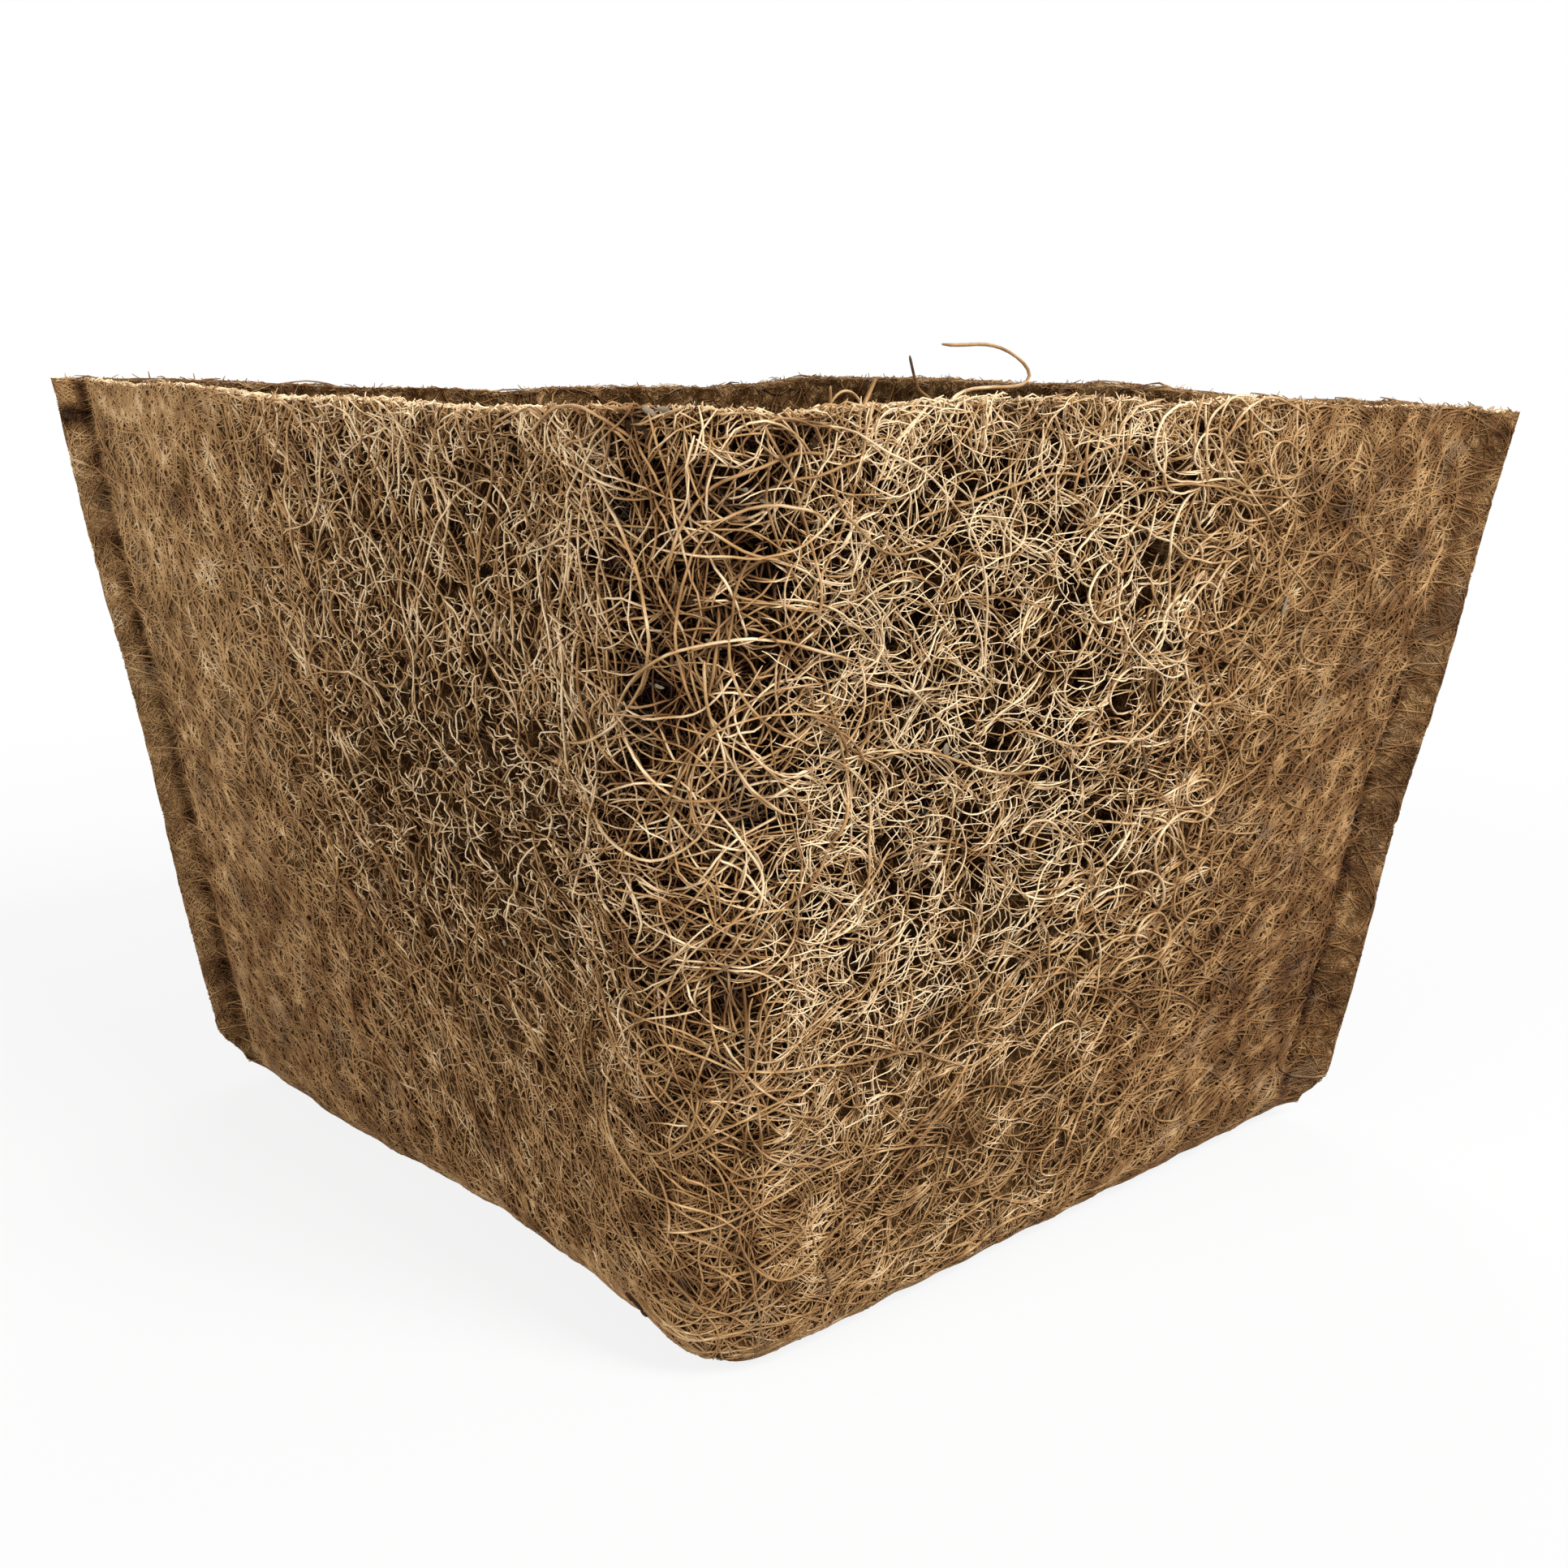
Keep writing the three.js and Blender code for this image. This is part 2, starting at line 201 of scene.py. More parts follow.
def lay_floor():
    bpy.ops.mesh.primitive_plane_add(size=FLOOR_SIDE, location=(0, 0, -FLOOR_DROP))
    floor = bpy.context.object
    floor.name = "floor"
    material = bpy.data.materials.new("pale_floor")
    material.use_nodes = True
    tree = material.node_tree
    tree.nodes.clear()
    matt = tree.nodes.new("ShaderNodeBsdfDiffuse")
    matt.inputs["Color"].default_value = (FLOOR_WHITE, FLOOR_WHITE, FLOOR_WHITE, 1)
    white = tree.nodes.new("ShaderNodeEmission")
    show_mix(tree, "ShaderNodeOutputMaterial", white_share(tree), matt, white)
    floor.data.materials.append(material)


lay_floor()
print("side of the floor in m", FLOOR_SIDE)

# %% Lamps


def hang_lamp(name, place, size, power):
    """A square lamp that faces the middle of the basket."""
    aim = Vector((0, 0, cad_high.z / 2))
    bpy.ops.object.light_add(type="AREA", location=place)
    lamp = bpy.context.object
    lamp.name = name
    lamp.data.size = size
    lamp.data.energy = power
    lamp.rotation_mode = "QUATERNION"
    lamp.rotation_quaternion = (aim - Vector(place)).to_track_quat("-Z", "Y")


hang_lamp("key_lamp", (0.10, -0.75, 0.75), size=0.4, power=14.2)
hang_lamp("left_lamp", (-0.80, -0.15, 0.45), size=0.4, power=4.8)
hang_lamp("back_lamp", (0.60, 0.75, 0.60), size=0.6, power=6.6)
bpy.context.scene.view_settings.view_transform = "Standard"

# %% [markdown]
# ## The shape of a wall mat
# A real mat is cut flat and then folded, so a point of it is best named by where it lies in the flat mat:
# its distance along the wall from the middle of the fold, its climb from the lower fold towards the rim,
# and how far it stands proud of the outer face. One function then folds that flat place into the basket.
# Felt, fibres and flecks all use it, so they follow the same folds, hem and seams. The mat is the same on
# both sides of its fold, so the second half swaps X and Y.

# %% Sizes of the mats
MAT = 5 * MM
FOLD_RADIUS = 15 * MM
LEAST_RADIUS = 0.4 * MM
HEM_FOLD_RADIUS = 1.5 * MM
HEM_WIDTH = 14 * MM
BASE_HALF = 57.5 * MM
FLANGE = 2.75 * MM
FLANGE_WIDTH = 4.5 * MM
FLANGE_LOW = 2 * MM
FLANGE_WHOLE = 8 * MM
SEAM_CLEARANCE = 0.15 * MM
ROOT_HALF = math.sqrt(0.5)
FOLD_FACING = -3 * math.pi / 4

HEIGHT = cad_high.z
RIM_HALF = cad_high.x - FLANGE_WIDTH * ROOT_HALF
LEAN = math.atan((RIM_HALF - BASE_HALF) / HEIGHT)
LOWER_FOLD = MAT + HEM_FOLD_RADIUS
HALF_FOLD = FOLD_RADIUS * math.pi / 4
GROOVE_BACK = FLANGE / ROOT_HALF
GROOVE_LEAST = SEAM_CLEARANCE / ROOT_HALF


def wall_half(z):
    """Half the distance across the outer faces of the walls, at a height."""
    return BASE_HALF + z * math.tan(LEAN)


BEND_X = wall_half(LOWER_FOLD) - LOWER_FOLD / math.cos(LEAN)
BEND_ARC = LOWER_FOLD * (math.pi / 2 - LEAN)
HEM_EDGE = -BEND_ARC - (BEND_X - (BASE_HALF - HEM_WIDTH))
RIM = (HEIGHT - LOWER_FOLD * (1 - math.sin(LEAN))) / math.cos(LEAN)
print("wall leans", round(math.degrees(LEAN), 2), "degrees")
print("climb in mm runs from", round(HEM_EDGE / MM, 1), "to", round(RIM / MM, 1))

# %% A mat's section and edges


def smooth_step(value, low, high):
    share = np.clip((value - low) / (high - low), 0, 1)
    return share * share * (3 - 2 * share)


def profile(climb, proud):
    """Distance from the basket's middle, and height, of a place in a mat's section."""
    turn = np.clip(climb / LOWER_FOLD, LEAN - math.pi / 2, 0) - LEAN
    rise = np.maximum(climb, 0)
    inward = np.minimum(climb + BEND_ARC, 0)
    reach = LOWER_FOLD + proud
    x = BEND_X + reach * np.cos(turn) + rise * math.sin(LEAN) + inward
    z = LOWER_FOLD + reach * np.sin(turn) + rise * math.cos(LEAN)
    return x, z


def corner_radius(x, z):
    return np.maximum(FOLD_RADIUS - (wall_half(z) - x), LEAST_RADIUS)


def groove_gap(z):
    """How far short of the sharp corner a wall's face turns out into its seam flange."""
    return GROOVE_LEAST + (GROOVE_BACK - GROOVE_LEAST) * smooth_step(z, 0, FLANGE_WHOLE)


def groove_at(climb):
    """Distance along the wall from the middle of the fold to the seam's groove."""
    x, z = profile(climb, 0)
    return HALF_FOLD + 2 * x - corner_radius(x, z) - groove_gap(z)


def flange_width(climb):
    z = profile(climb, 0)[1]
    return FLANGE_WIDTH * smooth_step(z, FLANGE_LOW, FLANGE_WHOLE)


def mat_edge(climb):
    """Distance along the wall from the middle of the fold to the cut edge of the flange."""
    return groove_at(climb) + flange_width(climb)


print("from the middle of the fold to the cut edge at the rim, in mm", round(mat_edge(RIM) / MM, 1))

# %% Folding a flat place into the basket
# The mats are pressed into each other where they are sewn, so that no light shows between them
JOINT_PRESS = 0.5 * MM
RIM_SLANT = 1.2 * MM
RIM_ZONE = 12 * MM
RIM_DIPS = [
    # along, depth and reach in mm
    (10, 0.9, 6),
    (22, 0.6, 6),
    (66, 0.9, 8),
]


def rim_drop(along, climb, proud):
    """How far the rim has sunk: its inner edge lies lower than its outer edge, and it has dips."""
    drop = RIM_SLANT * np.clip(-proud / MAT, 0, 1)
    for at, depth, reach in RIM_DIPS:
        drop = drop + depth * MM * np.exp(-(((along / MM - at) / reach) ** 2))
    return drop * smooth_step(climb, RIM - RIM_ZONE, RIM)


def fold_mat(along, climb, proud):
    """Folds flat places into the front wall mat. A last axis of 3 is added to the arrays."""
    climb = climb - rim_drop(along, climb, proud)
    half = np.abs(along)
    x, z = profile(climb, proud)
    radius = corner_radius(x, z)
    turn = FOLD_FACING + np.minimum(half, HALF_FOLD) / FOLD_RADIUS
    run = np.maximum(half - HALF_FOLD, 0)
    across_x = radius - x + radius * np.cos(turn) + run
    across_y = radius - x + radius * np.sin(turn)
    past = half - groove_at(climb)
    groove = groove_gap(z) * ROOT_HALF
    outward = past - groove
    forward = groove + proud * FLANGE / MAT
    flange_x = wall_half(z) + (outward - forward) * ROOT_HALF
    flange_y = -wall_half(z) - (outward + forward) * ROOT_HALF
    px = np.where(past > 0, flange_x, across_x)
    py = np.where(past > 0, flange_y, across_y)
    over = np.maximum(px + py - JOINT_PRESS, 0)
    px = px - over / 2
    py = py - over / 2
    left = along < 0
    return np.stack([np.where(left, py, px), np.where(left, px, py), z], axis=-1)


corner = fold_mat(np.array([0.0]), np.array([RIM]), np.array([0.0]))[0]
print("middle of the fold at the rim, in mm", [round(float(c) / MM, 1) for c in corner])

# %% [markdown]
# ## Sewn and settled
# Sewing presses the mat down along each seam and leaves a dimple at every stitch. Nothing soft is quite
# square, either: the corners of this basket have settled a few millimetres away from the pattern, the
# foot of its left wall has drawn up, and its rim waves. Both are written once, as functions of place, and
# everything in the basket goes through them.

# %% Pressing
STITCH = 5.55 * MM
FIRST_STITCH = 12 * MM
PRESS_DEPTH = 0.9 * MM
PRESS_WIDTH = 0.9 * MM
DIMPLE_LENGTH = 1.8 * MM
DIMPLE_SHARE = 0.75
LEFT_PRESS = 0.7 * MM
RIGHT_PRESS_SHARE = (1.1, 0.35)
RIGHT_PRESS_LOW = -2.4 * MM
RIGHT_PRESS_HIGH = 1.0 * MM
SLANT_LOW = 35 * MM
SLANT_HIGH = 95 * MM


def press_line(along, z):
    """How far outside the foot of the flange the pressed line runs. On the right it slants in low down."""
    slant = smooth_step(z, SLANT_LOW, SLANT_HIGH)
    right = RIGHT_PRESS_LOW + (RIGHT_PRESS_HIGH - RIGHT_PRESS_LOW) * slant
    return np.where(along < 0, LEFT_PRESS, right)


def pressed(along, climb):
    """How deep the sewing presses the mat at a place."""
    z = profile(climb, 0)[1]
    off = np.abs(along) - groove_at(climb) - press_line(along, z)
    to_stitch = (z - FIRST_STITCH + STITCH / 2) % STITCH - STITCH / 2
    dimple = np.exp(-((to_stitch / DIMPLE_LENGTH) ** 2))
    low, high = RIGHT_PRESS_SHARE
    share = np.where(along < 0, 1, low + (high - low) * smooth_step(z, SLANT_LOW, SLANT_HIGH))
    sewn = share * smooth_step(z, FLANGE_LOW, FLANGE_WHOLE)
    return PRESS_DEPTH * sewn * (1 - DIMPLE_SHARE * (1 - dimple)) * np.exp(-((off / PRESS_WIDTH) ** 2))


PLACES_CHECKED = 200
climbs = np.linspace(0, RIM, PLACES_CHECKED)
deepest = pressed(-groove_at(climbs) - LEFT_PRESS, climbs).max()
print("deepest dimple of the left seam in mm", round(float(deepest) / MM, 2))

# %% Waves
RIM_LENGTHS = mm(9, 11, 7, 23)
WALL_LENGTHS = mm(12, 19, 14, 16)
FOOT_LENGTHS = mm(1.3, 1.7, 2.9)
RIM_PHASE = 1.0
WALL_PHASE = 0.7
FOOT_PHASE = 0.4


def waves(x, y, z):
    """Waves along the rim, broad ones for the walls and short ones for the foot, each at most 2 high."""
    a, b, c, d = RIM_LENGTHS
    rim = np.sin(x / a + RIM_PHASE) * np.cos(y / b) + np.sin(y / c + x / d)
    a, b, c, d = WALL_LENGTHS
    broad = np.sin(x / a + z / b) * np.cos(y / c - z / d + WALL_PHASE)
    a, b, c = FOOT_LENGTHS
    short = (np.sin(x / a + FOOT_PHASE) + np.sin(y / b) + np.sin((x - y) / c)) / 2
    return rim, broad, short


print("waves at the front of the rim", np.round(waves(-RIM_HALF, -RIM_HALF, HEIGHT), 2))

# %% Settling
LEFT_FOOT_OUT = -4.0 * MM
RIGHT_FOOT_OUT = -3.0 * MM
SEAM_RIM_OUT = -1.0 * MM
LEFT_CORNER_RISE = 2.0 * MM
RIGHT_CORNER_RISE = 0.5 * MM
FRONT_CORNER_RISE = 0.8 * MM
REAR_CORNER_RISE = 4.0 * MM
LEFT_RIM_RISE = -0.8 * MM
RIGHT_RIM_RISE = 1.5 * MM
REAR_LEFT_RIM_RISE = -1.8 * MM
REAR_RIGHT_RIM_RISE = 1.0 * MM
LEFT_FOOT_LIFT = 4.6 * MM
LEFT_FOOT_BOW = 1.0 * MM
FRONT_FOOT_OUT = 1.4 * MM
RAGGED_FOOT = 0.35 * MM
RAGGED_POWER = 14
LIFT_STARTS = (0.04, 0.12)
LIFT_ENDS = (0.3, 0.8)
RIM_WAVE = 0.25 * MM
WALL_WAVE = 0.5 * MM
WALL_POWER = 8
FOOT_POWER = 3
RIM_POWER = 3
HIGHEST_SHARE = 1.2


def arch(share):
    """0 at both ends of a run and 1 in its middle."""
    return 4 * share * (1 - share)


def settled(points):
    """Moves places of the true basket to where they have settled."""
    x, y, z = points[..., 0], points[..., 1], points[..., 2]
    up = np.clip(z / HEIGHT, 0, HIGHEST_SHARE)
    foot = np.clip(1 - up, 0, 1) ** FOOT_POWER
    half = wall_half(z)
    u = np.clip((x / half + 1) / 2, 0, 1)
    v = np.clip((y / half + 1) / 2, 0, 1)
    left = (1 - u) * v
    right = u * (1 - v)
    on_left = arch(v) * (1 - u) ** WALL_POWER
    on_right = arch(u) * (1 - v) ** WALL_POWER
    on_rear_left = arch(u) * v**WALL_POWER
    on_rear_right = arch(v) * u**WALL_POWER
    left_lift = smooth_step(v, *LIFT_STARTS) * (1 - smooth_step(v, *LIFT_ENDS))
    left_lift = left_lift * (1 - u) ** WALL_POWER
    rim_wave, wall_wave, foot_wave = waves(x, y, z)
    outward = right * (RIGHT_FOOT_OUT + up * (SEAM_RIM_OUT - RIGHT_FOOT_OUT))
    outward = outward - left * (LEFT_FOOT_OUT + up * (SEAM_RIM_OUT - LEFT_FOOT_OUT))
    corners = left * LEFT_CORNER_RISE + right * RIGHT_CORNER_RISE
    corners = corners + (1 - u) * (1 - v) * FRONT_CORNER_RISE + u * v * REAR_CORNER_RISE
    middles = on_left * LEFT_RIM_RISE + on_right * RIGHT_RIM_RISE + RIM_WAVE * rim_wave
    middles = middles + on_rear_left * REAR_LEFT_RIM_RISE + on_rear_right * REAR_RIGHT_RIM_RISE
    rise = up * corners + up**RIM_POWER * middles + foot * left_lift * LEFT_FOOT_LIFT
    bow = WALL_WAVE * wall_wave * np.clip(arch(up), 0, 1)
    bow = bow - RAGGED_FOOT * foot_wave * np.clip(1 - up, 0, 1) ** RAGGED_POWER
    front = ROOT_HALF * (1 - u) * (1 - v) * foot * FRONT_FOOT_OUT
    moved_x = x + ROOT_HALF * outward + foot * on_left * LEFT_FOOT_BOW + bow * (1 - 2 * u) - front
    moved_y = y - ROOT_HALF * outward + bow * (1 - 2 * v) - front
    return np.stack([moved_x, moved_y, z + rise], axis=-1)


def turned(points):
    """The rear mat is the front one turned half way round."""
    return points * np.array([-1.0, -1.0, 1.0])


tip = settled(np.array([[RIM_HALF, RIM_HALF, HEIGHT]]))[0]
print("rear corner of the rim has settled to, in mm", [round(float(c) / MM, 1) for c in tip])

# %% [markdown]
# ## Finishes
# Coir is matt and never one colour: each fibre has its own tone, from pale gold to dark red-brown, and is
# painted darker where it dips into the mat, as painted shade. Every point of a fibre carries its tone as an
# attribute, and one ramp turns tones into colours. Here and there dried latex greys the fibres. The felt
# below is the same fibre matted together, so its colour is a web of fine lines over soft blotches. The
# contour lines of a noise wander and loop just like that, so a few noises, each cut to a thin band round
# its middle value, are laid over each other. The twine, the dried latex and the bits of pith are plainer,
# so they come first: a noise that wanders between two tones is enough for each.

# %% Finishes of twine, latex and pith
TWINE_TONES = [
    (0.0, (0.025, 0.013, 0.006)),
    (1.0, (0.12, 0.07, 0.034)),
]
LATEX_TONES = [
    (0.0, (0.09, 0.064, 0.038)),
    (1.0, (0.30, 0.24, 0.16)),
]
PITH_TONES = [
    (0.0, (0.012, 0.007, 0.004)),
    (1.0, (0.075, 0.040, 0.020)),
]
CRUMB_BUMP = 0.1 * MM
# A noise lies about this value
MIDDLE = 0.5


def noise_of(tree, scale, detail=4.0, shift=0.0):
    place = tree.nodes.new("ShaderNodeTexCoord")
    mapping = tree.nodes.new("ShaderNodeMapping")
    mapping.inputs["Location"].default_value = (shift, shift / 2, -shift)
    noise = tree.nodes.new("ShaderNodeTexNoise")
    noise.inputs["Scale"].default_value = scale
    noise.inputs["Detail"].default_value = detail
    tree.links.new(place.outputs["Object"], mapping.inputs["Vector"])
    tree.links.new(mapping.outputs["Vector"], noise.inputs["Vector"])
    return noise.outputs["Fac"]


def new_finish(name, roughness, shine):
    material = bpy.data.materials.new(name)
    material.use_nodes = True
    shader = material.node_tree.nodes["Principled BSDF"]
    shader.inputs["Roughness"].default_value = roughness
    shader.inputs["Specular IOR Level"].default_value = shine
    return material, material.node_tree, shader


def colour_of(tree, tones, tone):
    """The colour that a ramp of tones gives to a tone."""
    ramp = tree.nodes.new("ShaderNodeValToRGB")
    steps = ramp.color_ramp.elements
    while len(steps) < len(tones):
        steps.new(MIDDLE)
    for step, (place, colour) in zip(steps, tones, strict=True):
        step.position = place
        step.color = (*colour, 1)
    tree.links.new(tone, ramp.inputs["Fac"])
    return ramp.outputs["Color"]


def bump_by(tree, shader, height, distance):
    bump = tree.nodes.new("ShaderNodeBump")
    bump.inputs["Distance"].default_value = distance
    tree.links.new(height, bump.inputs["Height"])
    tree.links.new(bump.outputs["Normal"], shader.inputs["Normal"])


def crumb_finish(name, tones, scale, roughness, shine):
    """A plain finish whose colour wanders between its tones."""
    material, tree, shader = new_finish(name, roughness, shine)
    noise = noise_of(tree, scale)
    tree.links.new(colour_of(tree, tones, noise), shader.inputs["Base Color"])
    bump_by(tree, shader, noise, CRUMB_BUMP)
    return material


TWINE = crumb_finish("sewing_twine", TWINE_TONES, scale=2500, roughness=0.8, shine=0.1)
LATEX = crumb_finish("dried_latex", LATEX_TONES, scale=1200, roughness=0.5, shine=0.3)
PITH = crumb_finish("coir_pith", PITH_TONES, scale=900, roughness=0.9, shine=0.0)
print("finishes", [finish.name for finish in (TWINE, LATEX, PITH)])

# %% Finish of the fibres
FIBRE_TONES = [
    (0.0, (0.010, 0.0022, 0.0007)),
    (0.25, (0.060, 0.0225, 0.0070)),
    (0.5, (0.190, 0.092, 0.033)),
    (0.75, (0.450, 0.268, 0.116)),
    (1.0, (0.880, 0.680, 0.430)),
]
LATEX_GREY = (0.34, 0.27, 0.18)
FIBRE_STIR = 0.45
BLOTCH_NOISE = 520
PATCH_NOISE = 210
PATCH_STIR = 0.8
GREY_NOISE = 170
GREY_FROM = 0.52
GREY_FULL = 0.72
GREY_MOST = 0.2


def stirred(tree, tone, noise, share):
    """A tone with a noise stirred into it, which leaves its mean as it was."""
    centred = math_of(tree, "SUBTRACT", noise, value=MIDDLE)
    return math_of(tree, "ADD", tone, math_of(tree, "MULTIPLY", centred, value=share))


def attribute_of(tree, name):
    node = tree.nodes.new("ShaderNodeAttribute")
    node.attribute_name = name
    return node.outputs["Fac"]


def greyed(tree, colour):
    """A colour that dried latex has greyed in patches."""
    mix = tree.nodes.new("ShaderNodeMix")
    mix.data_type = "RGBA"
    grey = range_of(tree, noise_of(tree, GREY_NOISE), GREY_FROM, GREY_FULL, 0, GREY_MOST)
    tree.links.new(grey, mix.inputs["Factor"])
    tree.links.new(colour, mix.inputs["A"])
    mix.inputs["B"].default_value = (*LATEX_GREY, 1)
    return mix.outputs["Result"]


def fibre_finish():
    material, tree, shader = new_finish("coir_fibre", roughness=0.55, shine=0.12)
    tone = stirred(tree, attribute_of(tree, "tone"), noise_of(tree, BLOTCH_NOISE), FIBRE_STIR)
    tone = stirred(tree, tone, noise_of(tree, PATCH_NOISE), PATCH_STIR)
    tree.links.new(greyed(tree, colour_of(tree, FIBRE_TONES, tone)), shader.inputs["Base Color"])
    return material


FIBRE = fibre_finish()
print("finish", FIBRE.name, "with", len(FIBRE_TONES), "tones")

# %% Finish of the felt
FELT_TONES = [
    (0.0, (0.005, 0.0015, 0.0005)),
    (0.5, (0.080, 0.037, 0.0125)),
    (1.0, (0.350, 0.208, 0.092)),
]
WEB_SCALES = (420, 560, 740, 980)
WEB_BAND = 0.035
WEB_SHARE = 0.34
WEB_SHIFT = 0.37
FELT_STIR = 1.1
FELT_BUMP = 0.35 * MM


def web_of(tree):
    """A socket that is 1 on the threads of a tangled web and 0 between them."""
    web = None
    for layer, scale in enumerate(WEB_SCALES):
        noise = noise_of(tree, scale, detail=1.0, shift=WEB_SHIFT * layer)
        off = math_of(tree, "ABSOLUTE", math_of(tree, "SUBTRACT", noise, value=MIDDLE))
        line = range_of(tree, off, 0, WEB_BAND, 1, 0)
        web = line if web is None else math_of(tree, "MAXIMUM", web, line)
    return web


def felt_finish():
    material, tree, shader = new_finish("coir_felt", roughness=0.9, shine=0.0)
    web = web_of(tree)
    shade = stirred(tree, attribute_of(tree, "tone"), noise_of(tree, BLOTCH_NOISE), FELT_STIR)
    shade = stirred(tree, shade, noise_of(tree, PATCH_NOISE), PATCH_STIR)
    tone = math_of(tree, "ADD", shade, math_of(tree, "MULTIPLY", web, value=WEB_SHARE))
    tree.links.new(colour_of(tree, FELT_TONES, tone), shader.inputs["Base Color"])
    bump_by(tree, shader, web, FELT_BUMP)
    return material


FELT = felt_finish()
print("finish", FELT.name, "with", len(WEB_SCALES), "layers in its web")

# %% [markdown]
# ## Light and dark places
# The mat isn't even. At the front fold it is open, with dark gaps between bright fibres, and the walls
# beside the fold are as open, or nearly so. The felt in those gaps is painted nearly black, as painted
# shade over the real shadows there. Towards the seams and the foot it is pressed flat, and fibres and felt
# come close to one soft brown. Here and there it has a pale patch of latex dust or a dark stain.
# Felt and fibres take all this from the same few functions of the flat place.

# %% Loose and flat places
LOOSE_UNTIL = 50 * MM
PRESSED_FROM = 105 * MM
LOW_FLATNESS = 0.6
LOW_FROM = 12 * MM
LOW_UNTIL = 52 * MM
LEFT_OPEN = 0.75
RIGHT_OPEN = 1.0
FOLD_ZONE_LOW = 8 * MM
FOLD_ZONE_HIGH = 15 * MM
FOLD_ZONE_SOFT = 5 * MM


def fold_reach(climb):
    """Half the width of the loose zone at the fold, which widens towards the rim."""
    return FOLD_ZONE_LOW + (FOLD_ZONE_HIGH - FOLD_ZONE_LOW) * np.clip(climb / RIM, 0, 1)


def flatness(along, climb):
    """0 where the mat is loose and 1 where it is pressed flat: near the seams and, partly, the foot."""
    outer = smooth_step(np.abs(along), LOOSE_UNTIL, PRESSED_FROM)
    low = LOW_FLATNESS * (1 - smooth_step(climb, LOW_FROM, LOW_UNTIL))
    return 1 - (1 - outer) * (1 - low)


def openness(along, climb):
    """How open the mat is: most at the fold and beside it, and not at all where it is flat."""
    past = np.abs(along) - fold_reach(climb)
    fold = 1 - smooth_step(past, -FOLD_ZONE_SOFT, FOLD_ZONE_SOFT / 2)
    wall = np.where(along < 0, LEFT_OPEN, RIGHT_OPEN)
    return np.maximum(fold, wall) * (1 - flatness(along, climb))


for place, at in (("at the fold", 0.0), ("at a seam", groove_at(RIM / 2))):
    print("openness half way up", place, round(float(openness(at, RIM / 2)), 2))

# %% Stains
LEFT_FLANGE_LIGHT = 0.05
RIGHT_FLANGE_LIGHT = -0.08
FLANGE_LIGHT_RUN = 1.5 * MM
STAINS = [
    # along, climb and radius in mm, and change of tone
    (-133, 90, 1.5, -0.8),
    (-5, 92, 4, -0.18),
    (11, 92, 4, -0.15),
    (98, 83, 3, -0.22),
    (120, 78, 4, -0.22),
    (116, 68, 4, -0.15),
    (107, 14, 6, -0.15),
    (-2, 72, 4, -0.15),
    (-104, 80, 3, -0.22),
    (-108, 72, 36, 0.14),
    # darker low on the right wall, towards the foot
    (85, 12, 45, -0.07),
    (124, 77, 5, 0.20),
    (118, 83, 4, 0.14),
]


def stained(along, climb):
    past_groove = smooth_step(np.abs(along) - groove_at(climb), 0, FLANGE_LIGHT_RUN)
    change = np.where(along < 0, LEFT_FLANGE_LIGHT, RIGHT_FLANGE_LIGHT) * past_groove
    for at_along, at_climb, radius, tone in STAINS:
        off = np.hypot(along / MM - at_along, climb / MM - at_climb)
        change = change + tone * np.exp(-((off / radius) ** 2))
    return change


print("dark and pale places", len(STAINS))

# %% [markdown]
# ## The felt of the mats
# Under the loose top fibres lies the pressed body of the mat. It starts flat, as the real mat does: as a
# grid, extruded downwards. Every point is then given its place in the cut mat and folded into the basket
# by the function above, and a Displace modifier makes the surface as lumpy as felt. The felt lies a little
# below the mat's true face, so that the fibres laid on it next fill the mat up to its real thickness.

# %% A flat slab
LAYERS = 3


def face_out(piece):
    bpy.context.view_layer.objects.active = piece
    bpy.ops.object.mode_set(mode="EDIT")
    bpy.ops.mesh.select_all(action="SELECT")
    bpy.ops.mesh.normals_make_consistent(inside=False)
    bpy.ops.object.mode_set(mode="OBJECT")


def flat_slab(name, columns, rows):
    """A flat slab, 2 by 2 across and 1 deep, as a grid extruded downwards."""
    bpy.ops.object.select_all(action="DESELECT")
    bpy.ops.mesh.primitive_grid_add(x_subdivisions=columns, y_subdivisions=rows, size=2)
    slab = bpy.context.object
    slab.name = name
    bpy.ops.object.mode_set(mode="EDIT")
    bpy.ops.mesh.select_all(action="SELECT")
    for _ in range(LAYERS):
        bpy.ops.mesh.extrude_region_move(TRANSFORM_OT_translate={"value": (0, 0, -1 / LAYERS)})
    bpy.ops.object.mode_set(mode="OBJECT")
    face_out(slab)
    return slab


print("a slab of felt has", LAYERS, "layers")

# %% Points, tone and finish of a piece


def points_of(piece):
    flat = np.empty(len(piece.data.vertices) * 3, dtype=np.float32)
    piece.data.vertices.foreach_get("co", flat)
    return flat.reshape(-1, 3).astype(float)


def move_points(piece, points):
    piece.data.vertices.foreach_set("co", points.astype(np.float32).ravel())
    piece.data.update()


def give_tone(mesh, tones):
    layer = mesh.attributes.new("tone", "FLOAT", "POINT")
    layer.data.foreach_set("value", tones.astype(np.float32).ravel())


def make_lumpy(piece, height, size):
    texture = bpy.data.textures.new(piece.name + "_lumps", "CLOUDS")
    texture.noise_scale = size
    lumps = piece.modifiers.new("lumps", "DISPLACE")
    lumps.texture = texture
    lumps.strength = height
    lumps.mid_level = MIDDLE
    bpy.context.view_layer.objects.active = piece
    bpy.ops.object.modifier_apply(modifier=lumps.name)
    bpy.ops.object.shade_smooth()


def keep_piece(piece, finish, nodes=()):
    """Gives a piece its finish, hangs it on the body it rides on, and hides the parts of the model it
    replaces.
    """
    piece.data.materials.clear()
    piece.data.materials.append(finish)
    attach(piece, BODY)
    if nodes:
        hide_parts(*nodes)


print("every piece rides on", BODY)

